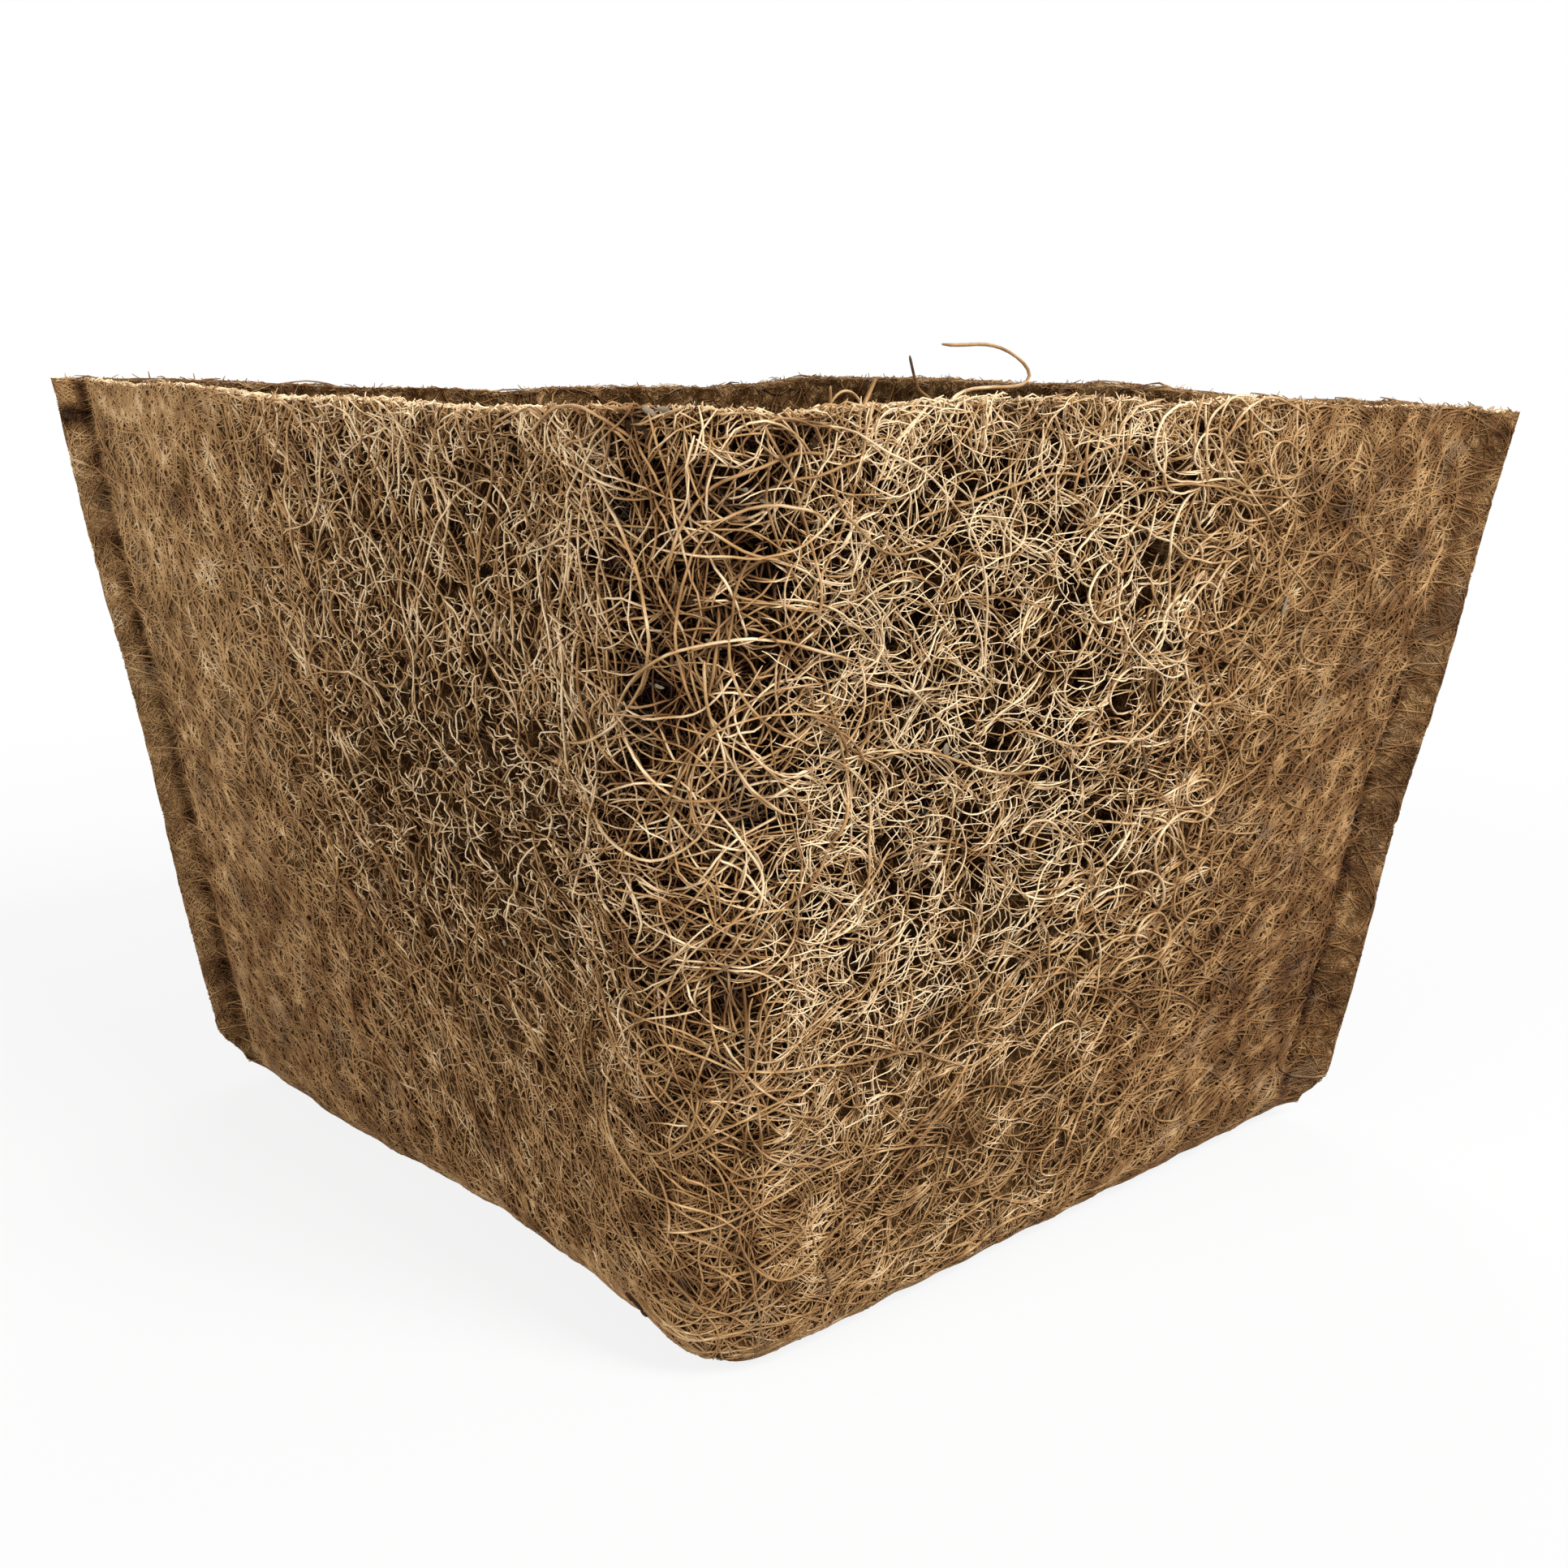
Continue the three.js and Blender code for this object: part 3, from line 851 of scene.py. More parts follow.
# %% Felt of the wall mats
MATS = (("front", False), ("rear", True))
FELT_LUMP = 0.5 * MM
FELT_LUMP_SIZE = 2.2 * MM
WALL_COLUMNS = 200
WALL_ROWS = 80
FLAT_SINK = 0.22 * MM
OPEN_SINK = 2.4 * MM
OPEN_FULL = 15 * MM
INSIDE_SINK = 0.6 * MM
FLANGE_MEET = 0.4 * MM
MEET_RUN = 3 * MM
FLAT_SHADE = 0.8
# Painted shade: open places get near-black felt, and the inside darker felt than the outside
OPEN_SHADE = 0.05
INSIDE_SHADE = 0.40
RIM_SHADE = 0.8
RIM_BAND = 2.5 * MM
RIM_SINK = 0.5
# Painted shade: the felt is made darker in the stitch dimples, for each mm they are pressed
FELT_DIMPLE_PAINTED_SHADE = 0.65
INSIDE_BELOW = -0.5


def felt_shade(along, climb, depth_share):
    """How light the felt is: painted shade where the mat is open, in dimples and inside; lighter where flat
    or cut.
    """
    shade = FLAT_SHADE + (OPEN_SHADE - FLAT_SHADE) * openness(along, climb) + stained(along, climb)
    # Painted shade in the stitch dimples
    shade = shade - FELT_DIMPLE_PAINTED_SHADE * pressed(along, climb) / MM
    shade = shade + (RIM_SHADE - shade) * smooth_step(climb, RIM - RIM_BAND, RIM)
    return np.where(depth_share < INSIDE_BELOW, INSIDE_SHADE, shade)


def wall_felt(name, node, rear):
    slab = flat_slab(name, WALL_COLUMNS, WALL_ROWS)
    flat = points_of(slab)
    climb = HEM_EDGE + (RIM - HEM_EDGE) * (flat[:, 1] + 1) / 2
    along = flat[:, 0] * mat_edge(climb)
    on_wall = smooth_step(climb, -LOWER_FOLD, OPEN_FULL)
    on_wall = on_wall * (1 - RIM_SINK * smooth_step(climb, RIM - RIM_BAND, RIM))
    sink = FLAT_SINK + (OPEN_SINK - FLAT_SINK) * openness(along, climb) * on_wall + pressed(along, climb)
    meeting = smooth_step(np.abs(along) - groove_at(climb), -MEET_RUN, 0)
    inside_sink = INSIDE_SINK - (INSIDE_SINK + FLANGE_MEET) * meeting
    depth = -sink + flat[:, 2] * (MAT - inside_sink - sink)
    places = fold_mat(along, climb, depth)
    move_points(slab, settled(turned(places) if rear else places))
    give_tone(slab.data, felt_shade(along, climb, flat[:, 2]))
    face_out(slab)
    make_lumpy(slab, FELT_LUMP, FELT_LUMP_SIZE)
    keep_piece(slab, FELT, [node])
    return slab


for mat, rear in MATS:
    felt = wall_felt(mat + "_wall_felt", mat + "_wall_mat", rear)
    print(felt.name, len(felt.data.polygons), "faces")

# %% Felt of the base mat
BASE_COLUMNS = 76
BASE_SHADE = 0.55
base_low, base_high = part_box("base_mat")
BASE_MAT_HALF = base_high.x
BASE_FOLD_RADIUS = FOLD_RADIUS - MAT
BASE_SEAM_RADIUS = 1.5 * MM


def round_corner(x, y, radius):
    """Pushes the corner of a square in to a round one. x and y are distances from its two sides."""
    a = np.clip(1 - x / radius, 0, 1)
    b = np.clip(1 - y / radius, 0, 1)
    inside = (a > 0) & (b > 0)
    round_x = radius * (1 - a * np.sqrt(1 - b * b / 2))
    round_y = radius * (1 - b * np.sqrt(1 - a * a / 2))
    return np.where(inside, round_x, x), np.where(inside, round_y, y)


def base_plan(share_x, share_y):
    """Places in the base mat's outline: two corners are rounded like the folds and two are nearly sharp."""
    half = BASE_MAT_HALF
    x = half * share_x
    y = half * share_y
    radius = np.where(x * y > 0, BASE_FOLD_RADIUS, BASE_SEAM_RADIUS)
    from_x, from_y = round_corner(half - np.abs(x), half - np.abs(y), radius)
    return np.copysign(half - from_x, x), np.copysign(half - from_y, y)


def base_felt(name):
    slab = flat_slab(name, BASE_COLUMNS, BASE_COLUMNS)
    flat = points_of(slab)
    x, y = base_plan(flat[:, 0], flat[:, 1])
    low = base_low.z + INSIDE_SINK
    high = base_high.z - INSIDE_SINK
    z = high + (high - low) * flat[:, 2]
    move_points(slab, settled(np.stack([x, y, z], axis=-1)))
    give_tone(slab.data, np.full(len(flat), BASE_SHADE))
    face_out(slab)
    make_lumpy(slab, FELT_LUMP, FELT_LUMP_SIZE)
    keep_piece(slab, FELT, ["base_mat"])
    return slab


felt = base_felt("base_felt")
print(felt.name, len(felt.data.polygons), "faces")

# %% [markdown]
# ## The sewing twine
# Each seam is a lockstitch: one thread lies along each face and dips into every hole to meet the other.
# Twine is three plies laid up round each other, so each thread is three curves that wind round the same
# route, given a round section by the curve's own bevel and turned into one mesh. In the corner seams it is
# sunk into the mat, so that only the dimples show.

# %% Stitches
TWINE_STEP = 0.65 * MM
TWINE_EASING = 2
LIMB_SPACING = 1.2 * MM
THREAD_TAIL = 2 * MM


def even_stops(start, end, stitch):
    count = math.ceil((end - start) / stitch)
    return np.linspace(start, end, count + 1)


def stitch_route(stops, rise, dip):
    """A thread's route as distance along the seam and height above the layer where the two threads meet."""
    half = LIMB_SPACING / 2
    route = [(stops[0] - half - THREAD_TAIL, rise)]
    for stop in stops:
        route += [(stop - half, rise), (stop - half, dip), (stop + half, dip), (stop + half, rise)]
    route.append((stops[-1] + half + THREAD_TAIL, rise))
    return np.array(route)


def distances(points):
    """How far along a route each of its points lies."""
    return np.concatenate([[0], np.cumsum(np.linalg.norm(np.diff(points, axis=0), axis=1))])


def eased(points, stops, rounds):
    """Places at the given distances along a route, with its corners eased."""
    route = np.stack([np.interp(stops, distances(points), column) for column in points.T], axis=-1)
    for _ in range(rounds):
        route[1:-1] = (route[:-2] + 2 * route[1:-1] + route[2:]) / 4
    return route


def sewn_route(stops, rise, dip):
    """A stitch route with a point every step and soft corners."""
    route = stitch_route(stops, rise, dip)
    return eased(route, np.arange(0, distances(route)[-1], TWINE_STEP), TWINE_EASING)


print("a point of a route every", TWINE_STEP / MM, "mm")

# %% Routes of the corner seams
TWINE_RADIUS = 0.4 * MM
FIT_GAP = 0.3 * MM
SEAM_SINK = 1.1 * MM
SEAM_TOP = HEIGHT - 5 * MM
STITCH_OUT = -FLANGE + 1.3 * MM
SEAM_STITCH = 6 * MM


def seam_thread_route(side, facing):
    """Left (-1) or right (1) corner seam, with the needle thread (1) in front or the bobbin (-1) behind."""
    climb = math.cos(math.atan(math.tan(LEAN) / ROOT_HALF))
    stops = even_stops(FIRST_STITCH / climb, SEAM_TOP / climb, SEAM_STITCH)
    flat = sewn_route(stops, FLANGE + FIT_GAP - SEAM_SINK, SEAM_CLEARANCE + TWINE_RADIUS)
    z = flat[:, 0] * climb
    out = (wall_half(z) + STITCH_OUT * ROOT_HALF) * side
    across = -flat[:, 1] * facing * ROOT_HALF
    return np.stack([out + across, -out + across, z], axis=-1)


print("points in a seam thread's route", len(seam_thread_route(1, 1)))

# %% Routes of the hem seams
HEM_STITCH = 11 * MM
HEM_STITCH_BACK = 8.5 * MM
HEM_STITCH_HALF = BASE_HALF - HEM_STITCH_BACK
HEM_STITCH_END = 9 * MM
HEM_CORNER = FOLD_RADIUS - HEM_STITCH_BACK


def hem_place(distance):
    """Plan of the hem's stitch line, from the right wall round the fold to the left wall, and its length."""
    half = HEM_STITCH_HALF
    run = 2 * half - HEM_CORNER
    bend = HEM_CORNER * math.pi / 2
    turn = -math.pi / 2 - np.clip(distance - run, 0, bend) / HEM_CORNER
    centre = HEM_CORNER - half
    x = centre + HEM_CORNER * np.cos(turn) + np.maximum(run - distance, 0)
    y = centre + HEM_CORNER * np.sin(turn) + np.maximum(distance - run - bend, 0)
    return x, y, 2 * run + bend


def hem_thread_route(facing, rear):
    length = hem_place(np.zeros(1))[2]
    stops = even_stops(HEM_STITCH_END, length - HEM_STITCH_END, HEM_STITCH)
    meeting = base_low.z - FIT_GAP / 2
    face = base_high.z if facing > 0 else FIT_GAP + TWINE_RADIUS
    flat = sewn_route(stops, abs(face - meeting), FIT_GAP + TWINE_RADIUS)
    x, y, _ = hem_place(flat[:, 0])
    route = np.stack([x, y, meeting + facing * flat[:, 1]], axis=-1)
    return turned(route) if rear else route


print("points in a hem thread's route", len(hem_thread_route(1, rear=False)))

# %% Twine along the routes
NEEDLE_AND_BOBBIN = (("needle", 1), ("bobbin", -1))
PLY_RADIUS = 0.21 * MM
PLIES = 3
PLY_LAY = 2.4 * MM
# A direction that no stretch of a thread runs in
ASKEW = np.array([0.31, 0.57, 0.76])


def laid_up(route):
    """Three plies winding round a route."""
    forward = np.gradient(route, axis=0)
    forward /= np.linalg.norm(forward, axis=1, keepdims=True)
    side = np.cross(forward, ASKEW)
    side /= np.linalg.norm(side, axis=1, keepdims=True)
    other = np.cross(forward, side)
    wind = 2 * math.pi * np.arange(len(route)) * TWINE_STEP / PLY_LAY
    reach = TWINE_RADIUS - PLY_RADIUS
    plies = []
    for ply in range(PLIES):
        turn = (wind + 2 * math.pi * ply / PLIES)[:, None]
        plies.append(route + reach * (np.cos(turn) * side + np.sin(turn) * other))
    return plies


def twine(node, route):
    curve = bpy.data.curves.new(node + "_twine", "CURVE")
    curve.dimensions = "3D"
    curve.bevel_depth = PLY_RADIUS
    curve.bevel_resolution = 1
    curve.use_fill_caps = True
    for ply in laid_up(settled(route)):
        spline = curve.splines.new("POLY")
        spline.points.add(len(ply) - 1)
        spline.points.foreach_set("co", np.c_[ply, np.ones(len(ply))].astype(np.float32).ravel())
    piece = bpy.data.objects.new(node + "_twine", curve)
    bpy.context.collection.objects.link(piece)
    bpy.ops.object.select_all(action="DESELECT")
    piece.select_set(True)
    bpy.context.view_layer.objects.active = piece
    bpy.ops.object.convert(target="MESH")
    bpy.ops.object.shade_smooth()
    piece = bpy.context.object
    keep_piece(piece, TWINE, [node])
    print(piece.name, len(piece.data.polygons), "faces")
    return piece


for side_name, side in (("left", -1), ("right", 1)):
    for thread, facing in NEEDLE_AND_BOBBIN:
        twine(f"{side_name}_seam_{thread}_thread", seam_thread_route(side, facing))
for mat, rear in MATS:
    for thread, facing in NEEDLE_AND_BOBBIN:
        twine(f"{mat}_hem_{thread}_thread", hem_thread_route(facing, rear))

# %% [markdown]
# ## A fibre, and thousands of them
# A coir fibre is a stiff hair a quarter of a millimetre thick. Thousands of them are needed, so each is
# only a three-sided tube of a few steps with closed ends, and a whole lot is written into one mesh at
# once. No modelling operator could bend that many one by one. Each lot also gets a UV map in which every
# fibre has a small strip of its own, so that its colour can be baked.

# %% Tubes of three sides
FIBRE_SIDES = 3
TIP_SHARE = 0.5
TINY = 1e-12


def unit(vectors):
    return vectors / np.maximum(np.linalg.norm(vectors, axis=-1, keepdims=True), TINY)


def fibre_rings(spines, normals, radii):
    """Three points round each point of each spine. Normals give the way out of the mat at each point."""
    forward = unit(np.gradient(spines, axis=1))
    side = unit(np.cross(forward, normals))
    out = np.cross(side, forward)
    steps = spines.shape[1]
    taper = np.ones(steps)
    taper[[0, -1]] = TIP_SHARE
    reach = radii[:, None, None] * taper[None, :, None]
    turns = 2 * math.pi * np.arange(FIBRE_SIDES) / FIBRE_SIDES + math.pi / 2
    rings = [spines + reach * (math.cos(t) * side + math.sin(t) * out) for t in turns]
    return np.stack(rings, axis=2)


def fibre_faces(count, points):
    """Corners of the side quads and the two end triangles of every fibre."""
    ring = np.arange(points - 1)[:, None] * FIBRE_SIDES
    k = np.arange(FIBRE_SIDES)[None, :]
    after = (k + 1) % FIBRE_SIDES
    quads = np.stack([ring + k, ring + after, ring + after + FIBRE_SIDES, ring + k + FIBRE_SIDES], axis=-1)
    last = (points - 1) * FIBRE_SIDES
    ends = np.array([[2, 1, 0], [last, last + 1, last + 2]])
    first = np.arange(count)[:, None, None] * points * FIBRE_SIDES
    return (first + quads.reshape(1, -1, 4)).reshape(-1, 4), (first + ends[None]).reshape(-1, 3)


SAMPLE_POINTS = 5
quads, ends = fibre_faces(1, SAMPLE_POINTS)
print("triangles in a fibre of", SAMPLE_POINTS, "points", 2 * len(quads) + len(ends))

# %% Fibres into one mesh
CELL_MARGIN = 0.12
CAP_SHARE = 0.8


def fibre_cells(count, points):
    """A strip of the UV square for each fibre: steps run across the strip and sides up it."""
    grid = math.ceil(math.sqrt(count))
    room = 1 - 2 * CELL_MARGIN
    step = np.arange(points - 1)[:, None, None] + np.array([0, 0, 1, 1])[None, None, :]
    side = np.arange(FIBRE_SIDES)[None, :, None] + np.array([0, 1, 1, 0])[None, None, :]
    cap = 1.0 / (points + 1)
    u = CELL_MARGIN + room * (cap + step / (points - 1) * (1 - 2 * cap))
    v = CELL_MARGIN + room * side / FIBRE_SIDES
    quads = np.stack(np.broadcast_arrays(u, v), axis=-1).reshape(1, -1, 2)
    low = CELL_MARGIN
    high = 1 - CELL_MARGIN
    near = low + room * cap * CAP_SHARE
    far = high - room * cap * CAP_SHARE
    ends = np.array([[low, low], [near, low], [low, high], [far, low], [high, low], [high, high]])[None]
    corner = np.stack([np.arange(count) % grid, np.arange(count) // grid], axis=-1)[:, None, :]
    return ((corner + quads) / grid).reshape(-1, 2), ((corner + ends) / grid).reshape(-1, 2)


def fibre_mesh(name, spines, normals, radii, tones):
    """One mesh of all the fibres, with the tone of each point and a UV strip for each fibre."""
    count, points = spines.shape[:2]
    rings = fibre_rings(spines, normals, radii)
    quads, ends = fibre_faces(count, points)
    quad_cells, end_cells = fibre_cells(count, points)
    mesh = bpy.data.meshes.new(name)
    mesh.vertices.add(rings.size // 3)
    mesh.vertices.foreach_set("co", rings.astype(np.float32).ravel())
    corners = np.concatenate([quads.ravel(), ends.ravel()])
    mesh.loops.add(len(corners))
    mesh.loops.foreach_set("vertex_index", corners.astype(np.int32))
    starts = np.concatenate([np.arange(len(quads)) * 4, len(quads) * 4 + np.arange(len(ends)) * 3])
    mesh.polygons.add(len(starts))
    mesh.polygons.foreach_set("loop_start", starts.astype(np.int32))
    mesh.update(calc_edges=True)
    mesh.polygons.foreach_set("use_smooth", np.ones(len(starts), dtype=bool))
    cells = mesh.uv_layers.new(name="OFBake")
    cells.data.foreach_set("uv", np.concatenate([quad_cells, end_cells]).astype(np.float32).ravel())
    give_tone(mesh, np.repeat(tones, FIBRE_SIDES, axis=1))
    piece = bpy.data.objects.new(name, mesh)
    bpy.context.collection.objects.link(piece)
    keep_piece(piece, FIBRE)
    print(name, count, "fibres,", 2 * len(quads) + len(ends), "triangles")
    return piece


print("each fibre keeps", CELL_MARGIN, "of its UV strip free at the edges")

# %% [markdown]
# ## How fibres lie
# A fibre wanders over the flat mat: it sets off in some direction, curls one way or swings from side to
# side, and kinks a little as it goes. It also weaves in and out of the mat, and its ends are tucked in,
# so only a short stretch of most fibres shows. These habits differ from place to place: short and kinked
# on the left wall, in nests and loops on the right wall, longer and looser on the fold. So a few ranges
# describe a lot of fibres, and the rest is chance with a fixed seed.

# %% The habits of a lot of fibres


@dataclass
class Lay:
    """The habits of a lot of fibres, in metres and radians; curl is in radians a metre."""

    count: int
    length: tuple
    width: tuple
    depth: tuple
    tone: tuple
    heading: float = math.pi / 2
    spread: float = math.pi
    curl: float = 40.0
    swing: float = 0.0
    kink: float = 0.15
    stretch: float = 1.0
    steps: int = 8
    weave: float = 0.25 * MM
    tuck: float = 0.5 * MM
    lock: int = 1
    # Painted shade: how much darker a fibre's tone gets for each millimetre it dips into the mat
    dip: float = 0.36


print("habits of a lot", list(Lay.__annotations__))

# %% Paths of fibres
CURL_RANGE = (0.25, 1.75)
LOCK_TURN = 0.06


def in_locks(values, lay):
    """Repeats what each lock has for every fibre in it."""
    return np.repeat(values, lay.lock, axis=0)[: lay.count]


def wander(rng, lay):
    """Flat paths about the origin, as distances along and up, one row for each fibre."""
    locks = math.ceil(lay.count / lay.lock)
    length = rng.uniform(*lay.length, (locks, 1))
    step = length / lay.steps
    heading = lay.heading + lay.spread * rng.uniform(-1, 1, (locks, 1))
    curl = lay.curl * rng.uniform(*CURL_RANGE, (locks, 1)) * rng.choice([-1, 1], (locks, 1))
    swing = 2 * math.pi * rng.uniform(0, 1, (locks, 1)) * lay.swing * np.linspace(0, 1, lay.steps)
    kinks = rng.normal(0, lay.kink, (locks, lay.steps))
    turn = heading + np.cumsum(kinks + curl * step * np.cos(swing), axis=1)
    turn = in_locks(turn, lay) + rng.normal(0, LOCK_TURN, (lay.count, 1))
    step = in_locks(step, lay)
    start = np.zeros((lay.count, 1))
    along = lay.stretch * np.concatenate([start, np.cumsum(np.cos(turn) * step, axis=1)], axis=1)
    climb = np.concatenate([start, np.cumsum(np.sin(turn) * step, axis=1)], axis=1)
    return along - along.mean(axis=1, keepdims=True), climb - climb.mean(axis=1, keepdims=True)


SAMPLE = Lay(count=3, length=mm(5, 5), width=mm(0.2, 0.2), depth=mm(0, 0), tone=(0.5, 0.5), curl=200)
run, rise = wander(np.random.default_rng(0), SAMPLE)
spans = np.hypot(np.ptp(run, axis=1), np.ptp(rise, axis=1)) / MM
print("three curled fibres 5 mm long span, in mm", np.round(spans, 1))

# %% Weaving and strewing
WEAVE_ROUNDS = (0.7, 2.2)
TUCK_POWER = 4
LOCK_SPREAD = 0.45 * MM
FAR_STRETCH = 0.5


def weave(rng, lay):
    """How proud of the mat's face each point of each fibre lies."""
    share = np.linspace(0, 1, lay.steps + 1)[None, :]
    base = rng.uniform(*lay.depth, (lay.count, 1))
    phase = rng.uniform(0, 2 * math.pi, (lay.count, 1))
    rounds = rng.uniform(*WEAVE_ROUNDS, (lay.count, 1))
    ends = (2 * np.abs(share - 0.5)) ** TUCK_POWER
    tucked = rng.uniform(0, 1, (lay.count, 1)) * lay.tuck
    return base + lay.weave * np.sin(phase + 2 * math.pi * rounds * share) - tucked * ends


def strewn(rng, lay, spots):
    """Moves the paths to their spots; fibres of one lock stay side by side."""
    along, climb = wander(rng, lay)
    locks = math.ceil(lay.count / lay.lock)
    spot_along, spot_climb = (in_locks(spot[:, None], lay) for spot in spots(rng, locks))
    loose = 0.0 if lay.lock == 1 else LOCK_SPREAD
    spot_along = spot_along + rng.normal(0, 1, (lay.count, 1)) * loose
    spot_climb = spot_climb + rng.normal(0, 1, (lay.count, 1)) * loose
    drawn_out = 1 + FAR_STRETCH * smooth_step(np.abs(spot_along), 0, groove_at(0))
    return along * drawn_out + spot_along, climb + spot_climb


def held_between(values, low, high):
    """Shifts each fibre whole, so that it stays between two limits."""
    over = (values - high).max(axis=1, keepdims=True)
    values = values - np.maximum(over, 0)
    under = (low - values).max(axis=1, keepdims=True)
    return values + np.maximum(under, 0)


woven = weave(np.random.default_rng(0), SAMPLE)[0]
print("heights along a woven fibre, in mm", np.round(woven / MM, 2))

# %% Tones of fibres
# The painted shade of a dipping fibre grows down to this depth in mm
DEEPEST_DIP = 1.6
# Painted shade: fibres are made darker in the stitch dimples, for each mm they are pressed
DIMPLE_PAINTED_SHADE = 0.5
FLAT_TONE = 0.55
FLATTENING = 0.92


def tones_of(rng, lay, height):
    """Fibres differ, and each is painted darker where it dips into the mat, as painted shade."""
    own = rng.uniform(*lay.tone, (lay.count, 1))
    return own - lay.dip * np.clip(-height / MM, 0, DEEPEST_DIP)


def placed(tones, along, climb):
    """Tones brought closer together where the mat is pressed flat, given painted shade in the dimples, and
    stained.
    """
    tones = tones + (FLAT_TONE - tones) * FLATTENING * flatness(along, climb)
    return tones - DIMPLE_PAINTED_SHADE * pressed(along, climb) / MM + stained(along, climb)


NEAR_A_SEAM = groove_at(RIM / 2) - 10 * MM
print("near a seam a tone of 1 becomes", round(float(placed(1.0, NEAR_A_SEAM, RIM / 2)), 2))

# %% Laying fibres on a wall
FLAT_HEIGHT = 0.15
RAGGED_RIM = 0.35 * MM
UNDER_HEM = 0.2 * MM
TALLEST = 2 * MM
FOOT_CLEAR = 12 * MM
OUT_STEP = 0.5 * MM
INNER_CORNER = 1.5 * MM
FLOOR_CLIMB = 5 * MM


def outside_height(climb, height):
    """Keeps fibres low on the walls, lower still at the foot, and off the floor under the hem."""
    under = smooth_step(-climb, 0, BEND_ARC)
    return np.minimum(height, TALLEST * smooth_step(climb, 0, FOOT_CLEAR) - UNDER_HEM * under)


def tubes_along(name, rng, lay, spines, outer, tones, rear):
    """Makes a lot of fibres from their spines and from places a little further out of the mat."""
    normals = unit(outer - spines)
    if rear:
        spines = turned(spines)
        normals = turned(normals)
    radii = rng.uniform(*lay.width, lay.count) / 2
    return fibre_mesh(name, settled(spines), normals, radii, tones)


def lay_on_wall(name, lay, spots, seed, rear=False, inside=False, over_rim=RAGGED_RIM):
    """Lays a lot on the outer side of a wall mat, hem and flanges included, or on its inner side."""
    rng = np.random.default_rng(seed)
    along, climb = strewn(rng, lay, spots)
    ragged = rng.normal(0, over_rim, (lay.count, 1))
    climb = held_between(climb, FLOOR_CLIMB if inside else HEM_EDGE, RIM + ragged)
    reach = groove_at(climb) - INNER_CORNER if inside else mat_edge(climb)
    along = held_between(along, -reach, reach)
    flat = flatness(along, climb)
    height = weave(rng, lay) * (1 - (1 - FLAT_HEIGHT) * flat)
    tones = placed(tones_of(rng, lay, height), along, climb)
    if inside:
        proud = -MAT - height
        out_step = -OUT_STEP
    else:
        proud = outside_height(climb, height - pressed(along, climb))
        out_step = OUT_STEP
    spines = fold_mat(along, climb, proud)
    outer = fold_mat(along, climb, proud + out_step)
    return tubes_along(name, rng, lay, spines, outer, tones, rear)


tall = outside_height(np.array([0, RIM / 2]), np.ones(2))
print("tallest at the foot and half way up, in mm", np.round(tall / MM, 2))

# %% Spots on the walls
LEFT = -1
RIGHT = 1
BOTH = 0
# One over the plastic number, and its square: steps of these fill a square evenly
EVEN_STEPS = np.array([0.7548776662, 0.5698402910])
EVEN_LOOSE = 0.01
FEATHER = (0.5, 1.2)
NEARER = 1.45
FAR_FROM = mm(45, 72)
FOOT_CLIMB = -5 * MM


def even(rng, count):
    """Two rows of numbers between 0 and 1 that fill a square more evenly than chance would."""
    steps = np.arange(count)[:, None] * EVEN_STEPS + rng.uniform(0, 1, 2)
    return ((steps + rng.normal(0, EVEN_LOOSE, (count, 2))) % 1).T


def wall_spots(side, low=FOOT_CLIMB, high=RIM):
    """Spots on one side of the fold or both, out to the flange's edge and denser near the fold."""

    def spots(rng, count):
        out, up = even(rng, count)
        climb = low + (high - low) * up
        inner = fold_reach(climb) * rng.uniform(*FEATHER, count)
        along = inner + (mat_edge(climb) - inner) * out**NEARER
        return along * (side or rng.choice([LEFT, RIGHT], count)), climb

    return spots


def far_spots(side):
    """Spots near the seams, on one side of the fold or both."""

    def spots(rng, count):
        out, up = even(rng, count)
        climb = RIM * up
        inner = rng.uniform(*FAR_FROM, count)
        along = inner + (groove_at(climb) - inner) * out
        return along * (side or rng.choice([LEFT, RIGHT], count)), climb

    return spots


few = np.stack(wall_spots(BOTH)(np.random.default_rng(0), 4), axis=-1)
print("four spots on a wall, in mm", np.round(few / MM, 1).tolist())

# %% Spots on the fold, the edges and the inside
FOLD_LOOSE = 0.55
RIM_COVER = 5 * MM


def fold_spots(rng, count):
    climb = rng.uniform(FOOT_CLIMB, RIM, count)
    return fold_reach(climb) * rng.normal(0, FOLD_LOOSE, count), climb


def under_rim_spots(rng, count):
    climb = rng.uniform(RIM - RIM_COVER, RIM, count)
    return groove_at(climb) * rng.uniform(-1, 1, count), climb


def hem_spots(rng, count):
    out, up = even(rng, count)
    climb = HEM_EDGE * up
    return mat_edge(climb) * (2 * out - 1), climb


def rim_spots(rng, count):
    return mat_edge(RIM) * rng.uniform(-1, 1, count), np.full(count, RIM)


def inside_spots(rng, count):
    out, up = even(rng, count)
    climb = FLOOR_CLIMB + (RIM - FLOOR_CLIMB) * up
    return groove_at(climb) * (2 * out - 1), climb


def flange_spots(rng, count):
    climb = rng.uniform(0, RIM, count)
    along = groove_at(climb) + flange_width(climb) * rng.uniform(0, 1, count)
    return along * rng.choice([LEFT, RIGHT], count), climb


few = np.stack(fold_spots(np.random.default_rng(0), 4), axis=-1)
print("four spots on the fold, in mm", np.round(few / MM, 1).tolist())

